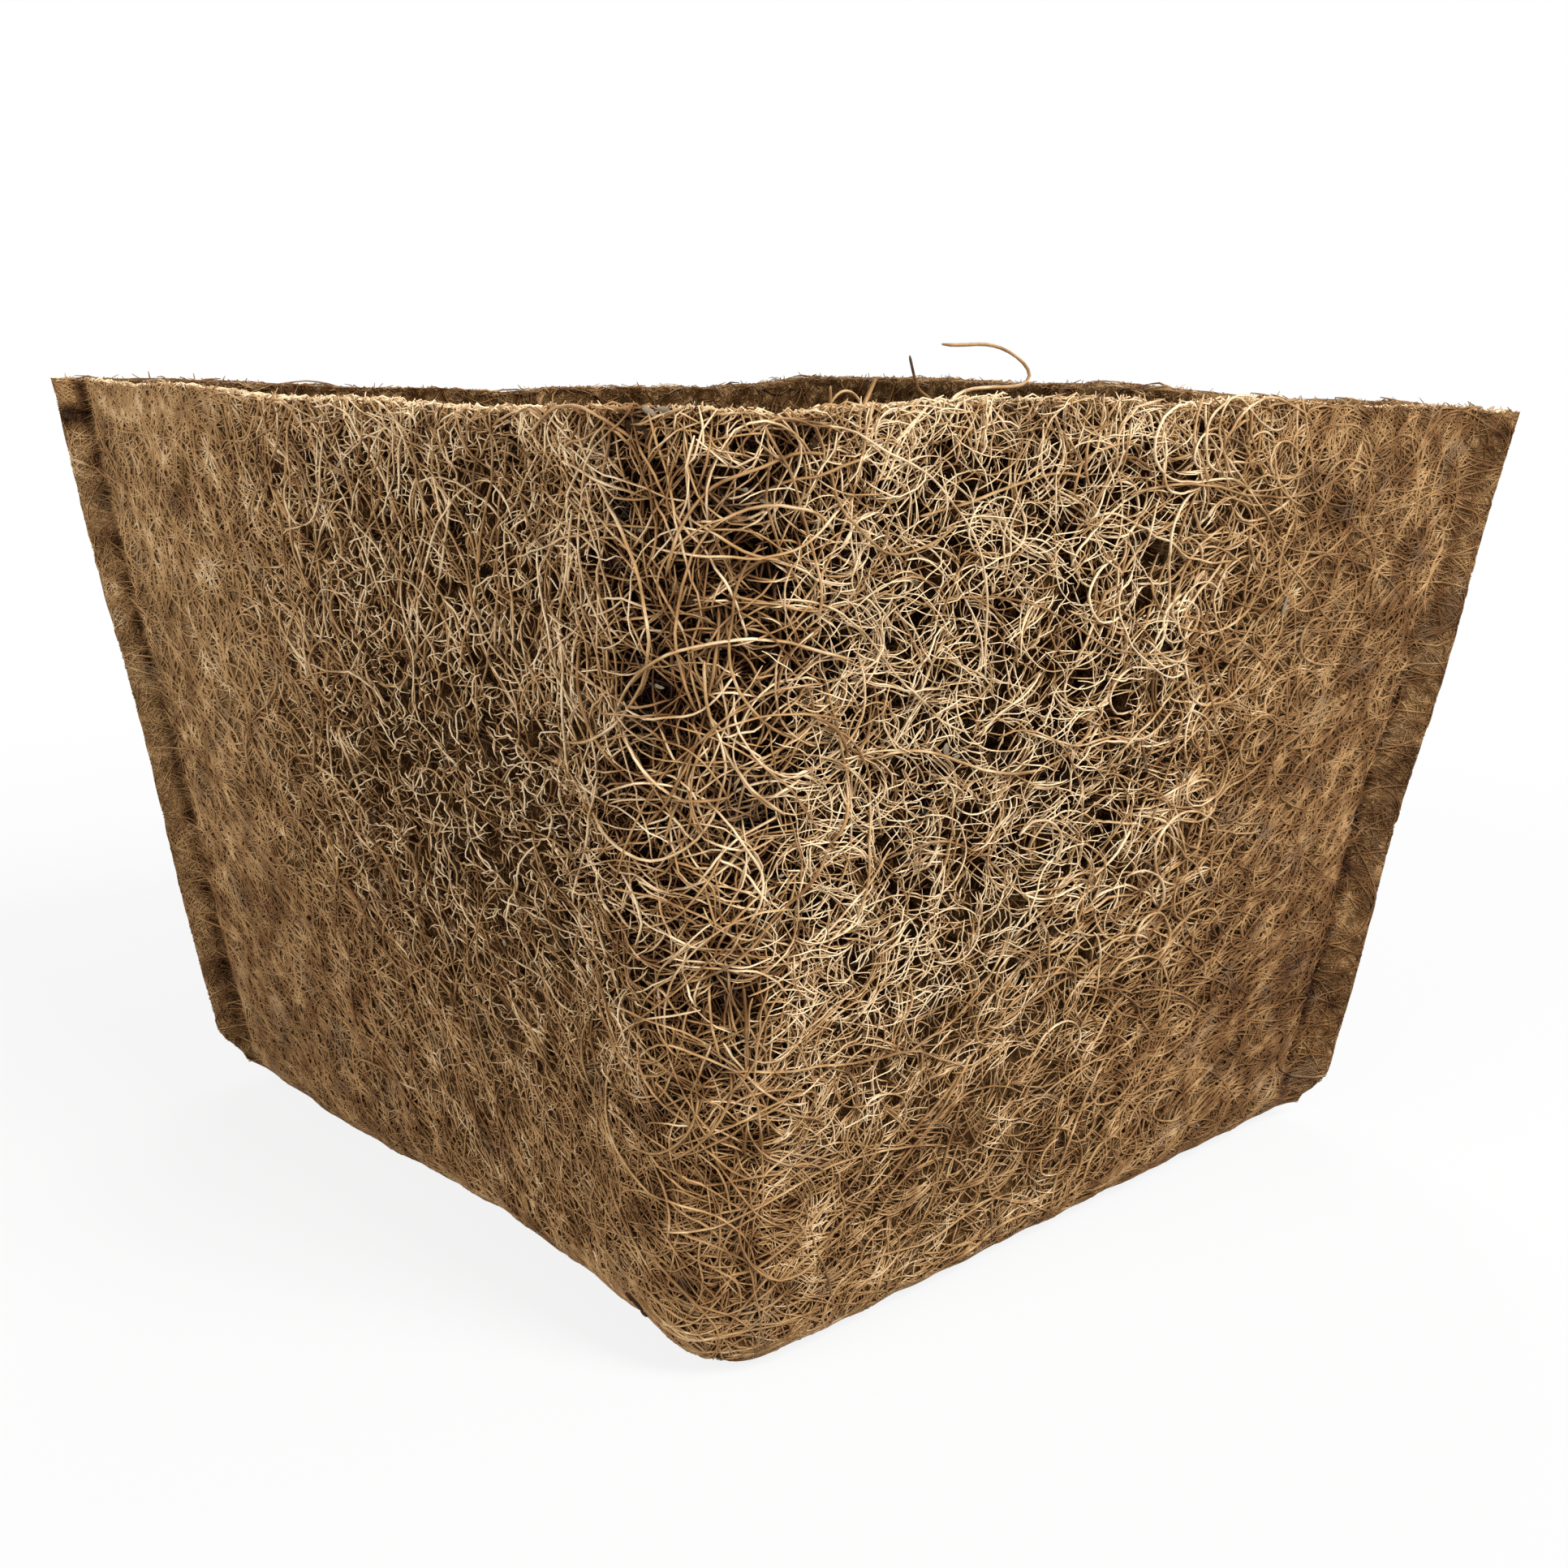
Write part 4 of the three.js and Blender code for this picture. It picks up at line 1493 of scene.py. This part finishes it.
# %% [markdown]
# ## Fibres on the outside
# The left wall in front is covered with short kinked fibres, a dark bed and a lighter top, which leaves
# small dark gaps between them. Longer fibres lie over these: some hang high on the wall, and others are
# combed slantwise low on it. The right wall has curlier fibres, with locks, nests of loops and a few long
# sweeping fibres over them. The fold between the walls is the loosest: three lots lie over each other
# there, each lighter than the one below, and a few long thick fibres arch over them. The lower lots are
# darker partly in their own colour and partly as painted shade, and so are the beds of the walls. Towards
# the seams the mat has broad soft fibres and loops, and a band of short ones closes it under the rim. The
# rear mat is the same stuff in fewer lots.

# %% Fibres on the left wall
LEFT_HIGH_FROM = 0.7 * RIM
LEFT_LOW_UNTIL = 0.4 * RIM

left_bed = Lay(
    count=3900, length=mm(3, 6), width=mm(0.14, 0.23), depth=mm(-1.3, -0.6), tone=(0.4, 0.76),
    curl=120, kink=0.45, stretch=1.2, steps=3,
)
left_top = Lay(
    count=5000, length=mm(2.8, 5.4), width=mm(0.12, 0.22), depth=mm(-0.5, 0.1), tone=(0.5, 1.12),
    curl=130, kink=0.45, stretch=1.2, steps=6,
)
left_long = Lay(
    count=420, length=mm(8, 15), width=mm(0.17, 0.28), depth=mm(-0.3, 0.2), tone=(0.6, 1.0),
    curl=70, swing=0.8, kink=0.32, stretch=1.3, steps=14,
)
left_high = Lay(
    count=150, length=mm(14, 34), width=mm(0.2, 0.3), depth=mm(-0.2, 0.4), tone=(0.6, 0.95),
    spread=0.7, curl=60, swing=0.6, kink=0.16, steps=24,
)
left_low = Lay(
    count=350, length=mm(14, 26), width=mm(0.16, 0.26), depth=mm(-0.3, 0.2), tone=(0.5, 0.8),
    heading=1.9, spread=0.5, curl=30, swing=1, kink=0.16, steps=14,
)

lay_on_wall("front_left_bed_fibres", left_bed, wall_spots(LEFT), seed=11)
lay_on_wall("front_left_top_fibres", left_top, wall_spots(LEFT), seed=12)
lay_on_wall("front_left_long_fibres", left_long, wall_spots(LEFT), seed=13)
lay_on_wall("front_left_high_fibres", left_high, wall_spots(LEFT, low=LEFT_HIGH_FROM), seed=14)
lay_on_wall("front_left_low_fibres", left_low, wall_spots(LEFT, high=LEFT_LOW_UNTIL), seed=15)

# %% Fibres on the right wall
right_bed = Lay(
    count=3100, length=mm(3.5, 7), width=mm(0.13, 0.22), depth=mm(-1.7, -0.8), tone=(0.28, 0.64),
    curl=150, kink=0.25, stretch=1.2, steps=4,
)
right_top = Lay(
    count=3400, length=mm(4, 8), width=mm(0.12, 0.21), depth=mm(-0.8, 0.2), tone=(0.66, 1.24),
    curl=170, kink=0.18, stretch=1.2, steps=6,
)
right_fine = Lay(
    count=2000, length=mm(3, 7), width=mm(0.1, 0.17), depth=mm(-0.4, 0.3), tone=(0.8, 1.3),
    curl=180, kink=0.16, stretch=1.2, steps=5,
)
right_locks = Lay(
    count=1000, length=mm(5, 11), width=mm(0.15, 0.25), depth=mm(-0.4, 0.4), tone=(0.66, 1.1),
    curl=120, kink=0.13, steps=8, lock=4,
)
right_nests = Lay(
    count=260, length=mm(12, 26), width=mm(0.15, 0.26), depth=mm(-0.3, 0.3), tone=(0.62, 1.05),
    curl=230, kink=0.08, stretch=1.2, steps=24,
)
right_sweeps = Lay(
    count=40, length=mm(20, 48), width=mm(0.26, 0.4), depth=mm(0.1, 0.6), tone=(0.62, 0.9),
    heading=0.6, spread=0.9, curl=45, swing=0.8, kink=0.08, steps=26,
)

lay_on_wall("front_right_bed_fibres", right_bed, wall_spots(RIGHT), seed=16)
lay_on_wall("front_right_top_fibres", right_top, wall_spots(RIGHT), seed=17)
lay_on_wall("front_right_fine_fibres", right_fine, wall_spots(RIGHT), seed=27)
lay_on_wall("front_right_lock_fibres", right_locks, wall_spots(RIGHT), seed=18)
lay_on_wall("front_right_nest_fibres", right_nests, wall_spots(RIGHT), seed=19)
lay_on_wall("front_right_sweeping_fibres", right_sweeps, wall_spots(RIGHT), seed=20)

# %% Fibres on the front fold
fold_bed = Lay(
    count=1500, length=mm(4, 9), width=mm(0.15, 0.28), depth=mm(-1.7, -0.7), tone=(0.3, 0.7),
    curl=140, swing=0.5, kink=0.25, steps=5,
)
fold_mid = Lay(
    count=1000, length=mm(5, 11), width=mm(0.17, 0.3), depth=mm(-1.1, -0.2), tone=(0.44, 0.84),
    curl=120, swing=0.4, kink=0.2, steps=8,
)
fold_top = Lay(
    count=380, length=mm(8, 20), width=mm(0.19, 0.34), depth=mm(-0.5, 0.3), tone=(0.54, 1.0),
    curl=120, swing=0.3, kink=0.15, steps=14,
)
fold_loose = Lay(
    count=60, length=mm(16, 36), width=mm(0.24, 0.42), depth=mm(0, 0.7), tone=(0.56, 0.92), curl=90,
    swing=0.25, kink=0.07, steps=24, weave=0.5 * MM,
)

lay_on_wall("front_fold_bed_fibres", fold_bed, fold_spots, seed=21)
lay_on_wall("front_fold_mid_fibres", fold_mid, fold_spots, seed=22)
lay_on_wall("front_fold_top_fibres", fold_top, fold_spots, seed=23)
lay_on_wall("front_fold_loose_fibres", fold_loose, fold_spots, seed=24)

# %% Soft loops near the seams, and short fibres under the rim
far_bed = Lay(
    count=1200, length=mm(7, 14), width=mm(0.24, 0.42), depth=mm(-0.3, 0.3), tone=(0.4, 0.85),
    curl=200, kink=0.2, steps=6,
)
far_loops = Lay(
    count=400, length=mm(8, 24), width=mm(0.24, 0.4), depth=mm(-0.2, 0.6), tone=(0.7, 1.15),
    curl=240, swing=0.4, kink=0.14, steps=20,
)
under_rim = Lay(
    count=900, length=mm(3, 7), width=mm(0.16, 0.28), depth=mm(-0.8, 0.2), tone=(0.66, 1.05),
    curl=120, kink=0.3, steps=3,
)

dull_loops = replace(far_loops, count=160, tone=(0.5, 0.85))

lay_on_wall("front_far_bed_fibres", far_bed, far_spots(BOTH), seed=28)
lay_on_wall("front_right_loop_fibres", far_loops, far_spots(RIGHT), seed=25)
lay_on_wall("front_left_loop_fibres", dull_loops, far_spots(LEFT), seed=29)
lay_on_wall("front_under_rim_fibres", under_rim, under_rim_spots, seed=26)

# %% Fibres on the rear mat
rear_bed = Lay(
    count=4200, length=mm(4, 8), width=mm(0.2, 0.3), depth=mm(-1.2, -0.4), tone=(0.5, 0.75),
    curl=130, kink=0.35, stretch=1.2, steps=3,
)
rear_top = Lay(
    count=4000, length=mm(4, 9), width=mm(0.18, 0.31), depth=mm(-0.5, 0.2), tone=(0.58, 0.98),
    curl=130, kink=0.3, stretch=1.2, steps=4,
)
rear_loops = Lay(
    count=300, length=mm(12, 32), width=mm(0.2, 0.34), depth=mm(-0.1, 0.5), tone=(0.6, 0.92),
    curl=150, kink=0.1, steps=18,
)
rear_fold = Lay(
    count=1000, length=mm(7, 20), width=mm(0.2, 0.38), depth=mm(-1.6, 0.4), tone=(0.56, 0.9),
    curl=100, swing=1, kink=0.14, steps=9, weave=0.45 * MM,
)

lay_on_wall("rear_bed_fibres", rear_bed, wall_spots(BOTH), seed=31, rear=True)
lay_on_wall("rear_top_fibres", rear_top, wall_spots(BOTH), seed=32, rear=True)
lay_on_wall("rear_loop_fibres", rear_loops, wall_spots(BOTH), seed=33, rear=True)
lay_on_wall("rear_fold_fibres", rear_fold, fold_spots, seed=34, rear=True)
lay_on_wall("rear_far_bed_fibres", far_bed, far_spots(BOTH), seed=35, rear=True)

# %% Fibres on the inside and under the hems
# The inside fibres are darker than the outer ones: painted shade inside the basket
inside_lot = Lay(
    count=2200, length=mm(4, 9), width=mm(0.21, 0.32), depth=mm(-0.5, 0.2), tone=(0.36, 0.56),
    curl=140, kink=0.35, steps=3,
)
hem_lot = Lay(
    count=900, length=mm(5, 11), width=mm(0.22, 0.34), depth=mm(-0.5, 0.2), tone=(0.5, 0.8),
    curl=110, kink=0.3, steps=4,
)

for (mat, rear), inside_seed, hem_seed in zip(MATS, (41, 42), (43, 44), strict=True):
    lay_on_wall(mat + "_inside_fibres", inside_lot, inside_spots, inside_seed, rear, inside=True)
    lay_on_wall(mat + "_hem_fibres", hem_lot, hem_spots, hem_seed, rear)

# %% [markdown]
# ## Cut edges
# The mats are cut with a blade, so the rim and the flanges of the seams end in short cut fibres that
# point every way. A flange gets one lot on its face and one on its cut edge, and the rim gets one on its
# cut edge. On an edge a fibre runs along it and across the thickness of the mat. Short ends also stand up
# all along the rim.

# %% Fibres on the cut edges
EDGE_SINK = 0.3 * MM
END_STANDS = 0.45 * MM


def lay_on_edge(name, lay, seed, rear, rim):
    """Lays short fibres on the cut rim of a wall mat, or on the cut edges of its two flanges."""
    rng = np.random.default_rng(seed)
    run, across = wander(rng, lay)
    start = rng.uniform(-MAT, 0, (lay.count, 1))
    proud = held_between(across + start, -MAT, 0)
    height = weave(rng, lay)
    tones = tones_of(rng, lay, height)
    if rim:
        limit = mat_edge(RIM)
        along = held_between(run + rng.uniform(-limit, limit, (lay.count, 1)), -limit, limit)
        climb = RIM + height
        outer_along, outer_climb = along, climb + OUT_STEP
    else:
        climb = held_between(run + rng.uniform(0, RIM, (lay.count, 1)), 0, RIM)
        side = rng.choice([LEFT, RIGHT], (lay.count, 1))
        along = side * (mat_edge(climb) - EDGE_SINK + height)
        outer_along, outer_climb = along + side * OUT_STEP, climb
    spines = fold_mat(along, climb, proud)
    outer = fold_mat(outer_along, outer_climb, proud)
    return tubes_along(name, rng, lay, spines, outer, tones + stained(along, climb), rear)


flange_lot = Lay(
    count=800, length=mm(2, 5), width=mm(0.15, 0.22), depth=mm(-0.5, 0.1), tone=(0.58, 0.82),
    spread=0.7, curl=120, kink=0.35, steps=3,
)
edge_lot = Lay(
    count=700, length=mm(2, 6), width=mm(0.16, 0.26), depth=mm(-0.2, 0.1), tone=(0.58, 0.82),
    heading=0.0, spread=0.6, curl=90, swing=0, kink=0.3, steps=3,
)
rim_lot = Lay(
    count=1900, length=mm(1.4, 4.5), width=mm(0.16, 0.28), depth=mm(-0.4, 0.35), tone=(0.7, 1.05),
    heading=0.0, spread=math.pi, curl=120, swing=0, kink=0.3, steps=3,
)
end_lot = Lay(
    count=700, length=mm(1.2, 3.5), width=mm(0.16, 0.27), depth=mm(-4.5, 0.2), tone=(0.58, 0.98),
    heading=math.pi / 2, spread=1.3, curl=150, swing=0, kink=0.3, steps=3, dip=0.0,
)

# The rear rim's fibres get darker tones than the front rim's: painted shade
rear_rim_lot = replace(rim_lot, count=1300, tone=(0.4, 0.66), depth=mm(-0.5, 0.1))
rear_end_lot = replace(end_lot, count=300, tone=(0.4, 0.66))

for (mat, rear), seed in zip(MATS, (51, 61), strict=True):
    lay_on_wall(mat + "_flange_fibres", flange_lot, flange_spots, seed, rear)
    lay_on_edge(mat + "_flange_edge_fibres", edge_lot, seed + 1, rear, rim=False)
    lay_on_edge(mat + "_rim_fibres", rear_rim_lot if rear else rim_lot, seed + 2, rear, rim=True)
    ends = rear_end_lot if rear else end_lot
    lay_on_wall(mat + "_rim_ends", ends, rim_spots, seed + 3, rear, over_rim=END_STANDS)

# %% [markdown]
# ## The base mat
# The floor of the basket shows from above, and its underside shows inside the hem from below. Both get a
# lot of fibres of their own, laid straight on the flat mat.

# %% Fibres on the base mat
HEM_OPENING = BASE_HALF - HEM_WIDTH


def lay_on_base(name, lay, seed, limit, facing):
    """Lays a lot on the top (1) or the underside (-1) of the base mat, within a square."""
    rng = np.random.default_rng(seed)
    x, y = strewn(rng, lay, lambda rng, count: rng.uniform(-limit, limit, (2, count)))
    x = held_between(x, -limit, limit)
    y = held_between(y, -limit, limit)
    height = weave(rng, lay)
    face = base_high.z if facing > 0 else base_low.z
    spines = np.stack([x, y, face + facing * height], axis=-1)
    normals = np.broadcast_to(np.array([0.0, 0.0, facing]), spines.shape)
    radii = rng.uniform(*lay.width, lay.count) / 2
    return fibre_mesh(name, settled(spines), normals, radii, tones_of(rng, lay, height))


floor_lot = Lay(
    count=1500, length=mm(4, 9), width=mm(0.22, 0.34), depth=mm(-0.5, 0.25), tone=(0.52, 0.9),
    curl=130, kink=0.35, steps=3,
)
under_lot = replace(floor_lot, count=1000)

lay_on_base("base_top_fibres", floor_lot, seed=71, limit=BASE_MAT_HALF - INNER_CORNER, facing=1)
lay_on_base("base_under_fibres", under_lot, seed=72, limit=HEM_OPENING, facing=-1)

# %% [markdown]
# ## Stray fibres
# A few long fibres have come loose at the front of the rim and stand up from it. Each one is given as
# how far along the rim and how high over it a few of its points lie, and then eased into a smooth curve.

# %% Stray fibres
STRAY_STEPS = 26
STRAY_EASING = 4
STRAY_DEPTH = -1.0 * MM
STRAYS = [
    # width in mm, tone at the root, tone at the tip, and points along and over the rim in mm
    (0.4, 0.86, 0.66, [(28, -3), (28.6, 0), (31, 1), (36, 1.2), (40.6, 1.2), (41.6, 2.2), (39.6, 3.6),
                       (36.5, 4.8), (33.5, 5.1), (30.2, 4.7), (28, 5)]),
    (0.3, 0.7, 0.12, [(29, -2), (26.8, 0.4), (25, 1.4), (24.4, 2.7), (23.8, 4.3)]),
    (0.3, 0.85, 0.8, [(13, -2), (13.6, 0), (14.5, 1), (15.6, 1.5), (17, 1.2), (18.6, -0.6)]),
    (0.46, 0.85, 0.75, [(17, -2), (17.8, -0.4), (18.7, 0.9), (19.6, 2.4)]),
    (0.3, 0.8, 0.7, [(14.2, -2), (14.1, 0.6), (14, 2)]),
]


def stray_path(points):
    points = np.array(points, dtype=float)
    return eased(points, np.linspace(0, distances(points)[-1], STRAY_STEPS + 1), STRAY_EASING)


def raise_strays(name):
    paths = np.array([stray_path(points) for _, _, _, points in STRAYS]) * MM
    along = paths[..., 0]
    climb = RIM + paths[..., 1]
    depth = np.full_like(along, STRAY_DEPTH)
    spines = fold_mat(along, climb, depth)
    normals = unit(fold_mat(along, climb, depth + OUT_STEP) - spines)
    radii = np.array([width for width, _, _, _ in STRAYS]) * MM / 2
    tones = np.array([np.linspace(root, tip, STRAY_STEPS + 1) for _, root, tip, _ in STRAYS])
    return fibre_mesh(name, settled(spines), normals, radii, tones)


raise_strays("stray_fibres")

# %% [markdown]
# ## Latex and pith
# Where the latex ran thick it has dried in grey-tan flakes between fibres, and bits of dark pith from the
# husk are still caught in the mat. One uneven crumb is modelled and copied, and each copy is turned and
# stretched its own way: long and thin for a flake, nearly round for pith. The ones that stand out are
# placed one by one.

# %% One crumb
CRUMB_LUMP = 0.9
CRUMB_LUMP_SIZE = 0.7


def model_crumb():
    """The points and triangles of a ball made uneven; the ball itself is then put away."""
    bpy.ops.object.select_all(action="DESELECT")
    bpy.ops.mesh.primitive_ico_sphere_add(subdivisions=2, radius=1)
    crumb = bpy.context.object
    crumb.name = "crumb"
    make_lumpy(crumb, CRUMB_LUMP, CRUMB_LUMP_SIZE)
    points = points_of(crumb)
    corners = np.array([face.vertices[:] for face in crumb.data.polygons])
    bpy.data.objects.remove(crumb)
    return points, corners


CRUMB_POINTS, CRUMB_CORNERS = model_crumb()
print("triangles in a crumb", len(CRUMB_CORNERS))

# %% Copies of the crumb


def strew_crumbs(name, places, finish, seed, rear=False):
    """Joins copies of the crumb. Places give along, climb, proud, length, width and thickness in mm."""
    rng = np.random.default_rng(seed)
    along, climb, proud, length, width, thickness = np.array(places, dtype=float).T[:, :, None] * MM
    turn = rng.uniform(0, 2 * math.pi, along.shape)
    run = CRUMB_POINTS[:, 0] * length
    rise = CRUMB_POINTS[:, 1] * width
    at_along = along + run * np.cos(turn) - rise * np.sin(turn)
    at_climb = climb + run * np.sin(turn) + rise * np.cos(turn)
    spots = fold_mat(at_along, at_climb, proud + CRUMB_POINTS[:, 2] * thickness)
    spots = settled(turned(spots) if rear else spots)
    first = np.arange(len(places))[:, None, None] * len(CRUMB_POINTS)
    mesh = bpy.data.meshes.new(name)
    mesh.from_pydata(spots.reshape(-1, 3), [], (first + CRUMB_CORNERS[None]).reshape(-1, 3))
    piece = bpy.data.objects.new(name, mesh)
    bpy.context.collection.objects.link(piece)
    face_out(piece)
    bpy.ops.object.shade_smooth()
    keep_piece(piece, finish)
    print(name, len(places), "pieces")
    return piece


# %% Flakes and clumps placed one by one
FLAKES = [
    # along, climb, proud, length, width and thickness
    (0.5, 76.7, -0.3, 0.9, 0.25, 0.07),
    (-2, 79.3, -0.5, 0.7, 0.3, 0.07),
    (1.5, 74.2, -0.4, 0.9, 0.25, 0.07),
    (-2, 72.2, -0.6, 0.8, 0.4, 0.07),
    (6.5, 86.8, -0.5, 0.6, 0.2, 0.07),
    (-5.5, 84.3, -0.5, 0.6, 0.2, 0.07),
    (-4, 70.2, -0.4, 0.8, 0.2, 0.07),
    (-48.5, 83.3, -0.2, 0.6, 0.25, 0.07),
    (30, 61.1, 0.1, 0.8, 0.4, 0.1),
    (31.5, 60.2, 0.1, 0.6, 0.25, 0.07),
    (35, 64.7, 0.0, 0.6, 0.2, 0.07),
    (89, 71.7, 0.3, 1.2, 0.35, 0.12),
    (-3.8, 94.6, 0.0, 0.8, 0.3, 0.15),
    (-2.6, 94.8, 0.0, 0.6, 0.25, 0.15),
]
CLUMPS = [
    # along, climb, proud, length, width and thickness
    (-5.5, 93.4, -0.5, 1.1, 0.6, 0.4),
    (-4.2, 92.6, -0.5, 0.8, 0.5, 0.4),
    (11.5, 91.8, -0.5, 1.0, 0.6, 0.4),
    (-9, -2.4, -0.1, 1.0, 0.6, 0.5),
    (-10.2, -2.2, -0.1, 0.8, 0.5, 0.5),
    (-8.2, -3.0, -0.1, 0.6, 0.5, 0.5),
    (-133, 90, -0.3, 0.6, 1.0, 0.4),
]

strew_crumbs("latex_flakes", FLAKES, LATEX, seed=81)
strew_crumbs("pith_clumps", CLUMPS, PITH, seed=82)

# %% Flecks and crumbs by chance
FLECKS = 70
CRUMBS = 90
FLECK_DEPTH = (-0.5, 0.1)
FLECK_LENGTH = (0.15, 0.45)
CRUMB_DEPTH = (-0.9, -0.1)
CRUMB_LENGTH = (0.2, 0.55)
CRUMB_WIDTH = (0.4, 1)
CRUMB_THICKNESS = 0.6


def by_chance(count, depth, length, seed):
    """Places of crumbs all over the outside of a wall mat."""
    rng = np.random.default_rng(seed)
    along = rng.uniform(-1, 1, count) * groove_at(0) / MM
    climb = rng.uniform(0, RIM, count) / MM
    long = rng.uniform(*length, count)
    wide = long * rng.uniform(*CRUMB_WIDTH, count)
    return np.stack([along, climb, rng.uniform(*depth, count), long, wide, wide * CRUMB_THICKNESS], axis=-1)


for (mat, rear), fleck_seed, crumb_seed in zip(MATS, (83, 87), (85, 89), strict=True):
    flecks = by_chance(FLECKS, FLECK_DEPTH, FLECK_LENGTH, fleck_seed)
    strew_crumbs(mat + "_latex_flecks", flecks, LATEX, fleck_seed, rear)
    crumbs = by_chance(CRUMBS, CRUMB_DEPTH, CRUMB_LENGTH, crumb_seed)
    strew_crumbs(mat + "_pith_crumbs", crumbs, PITH, crumb_seed, rear)
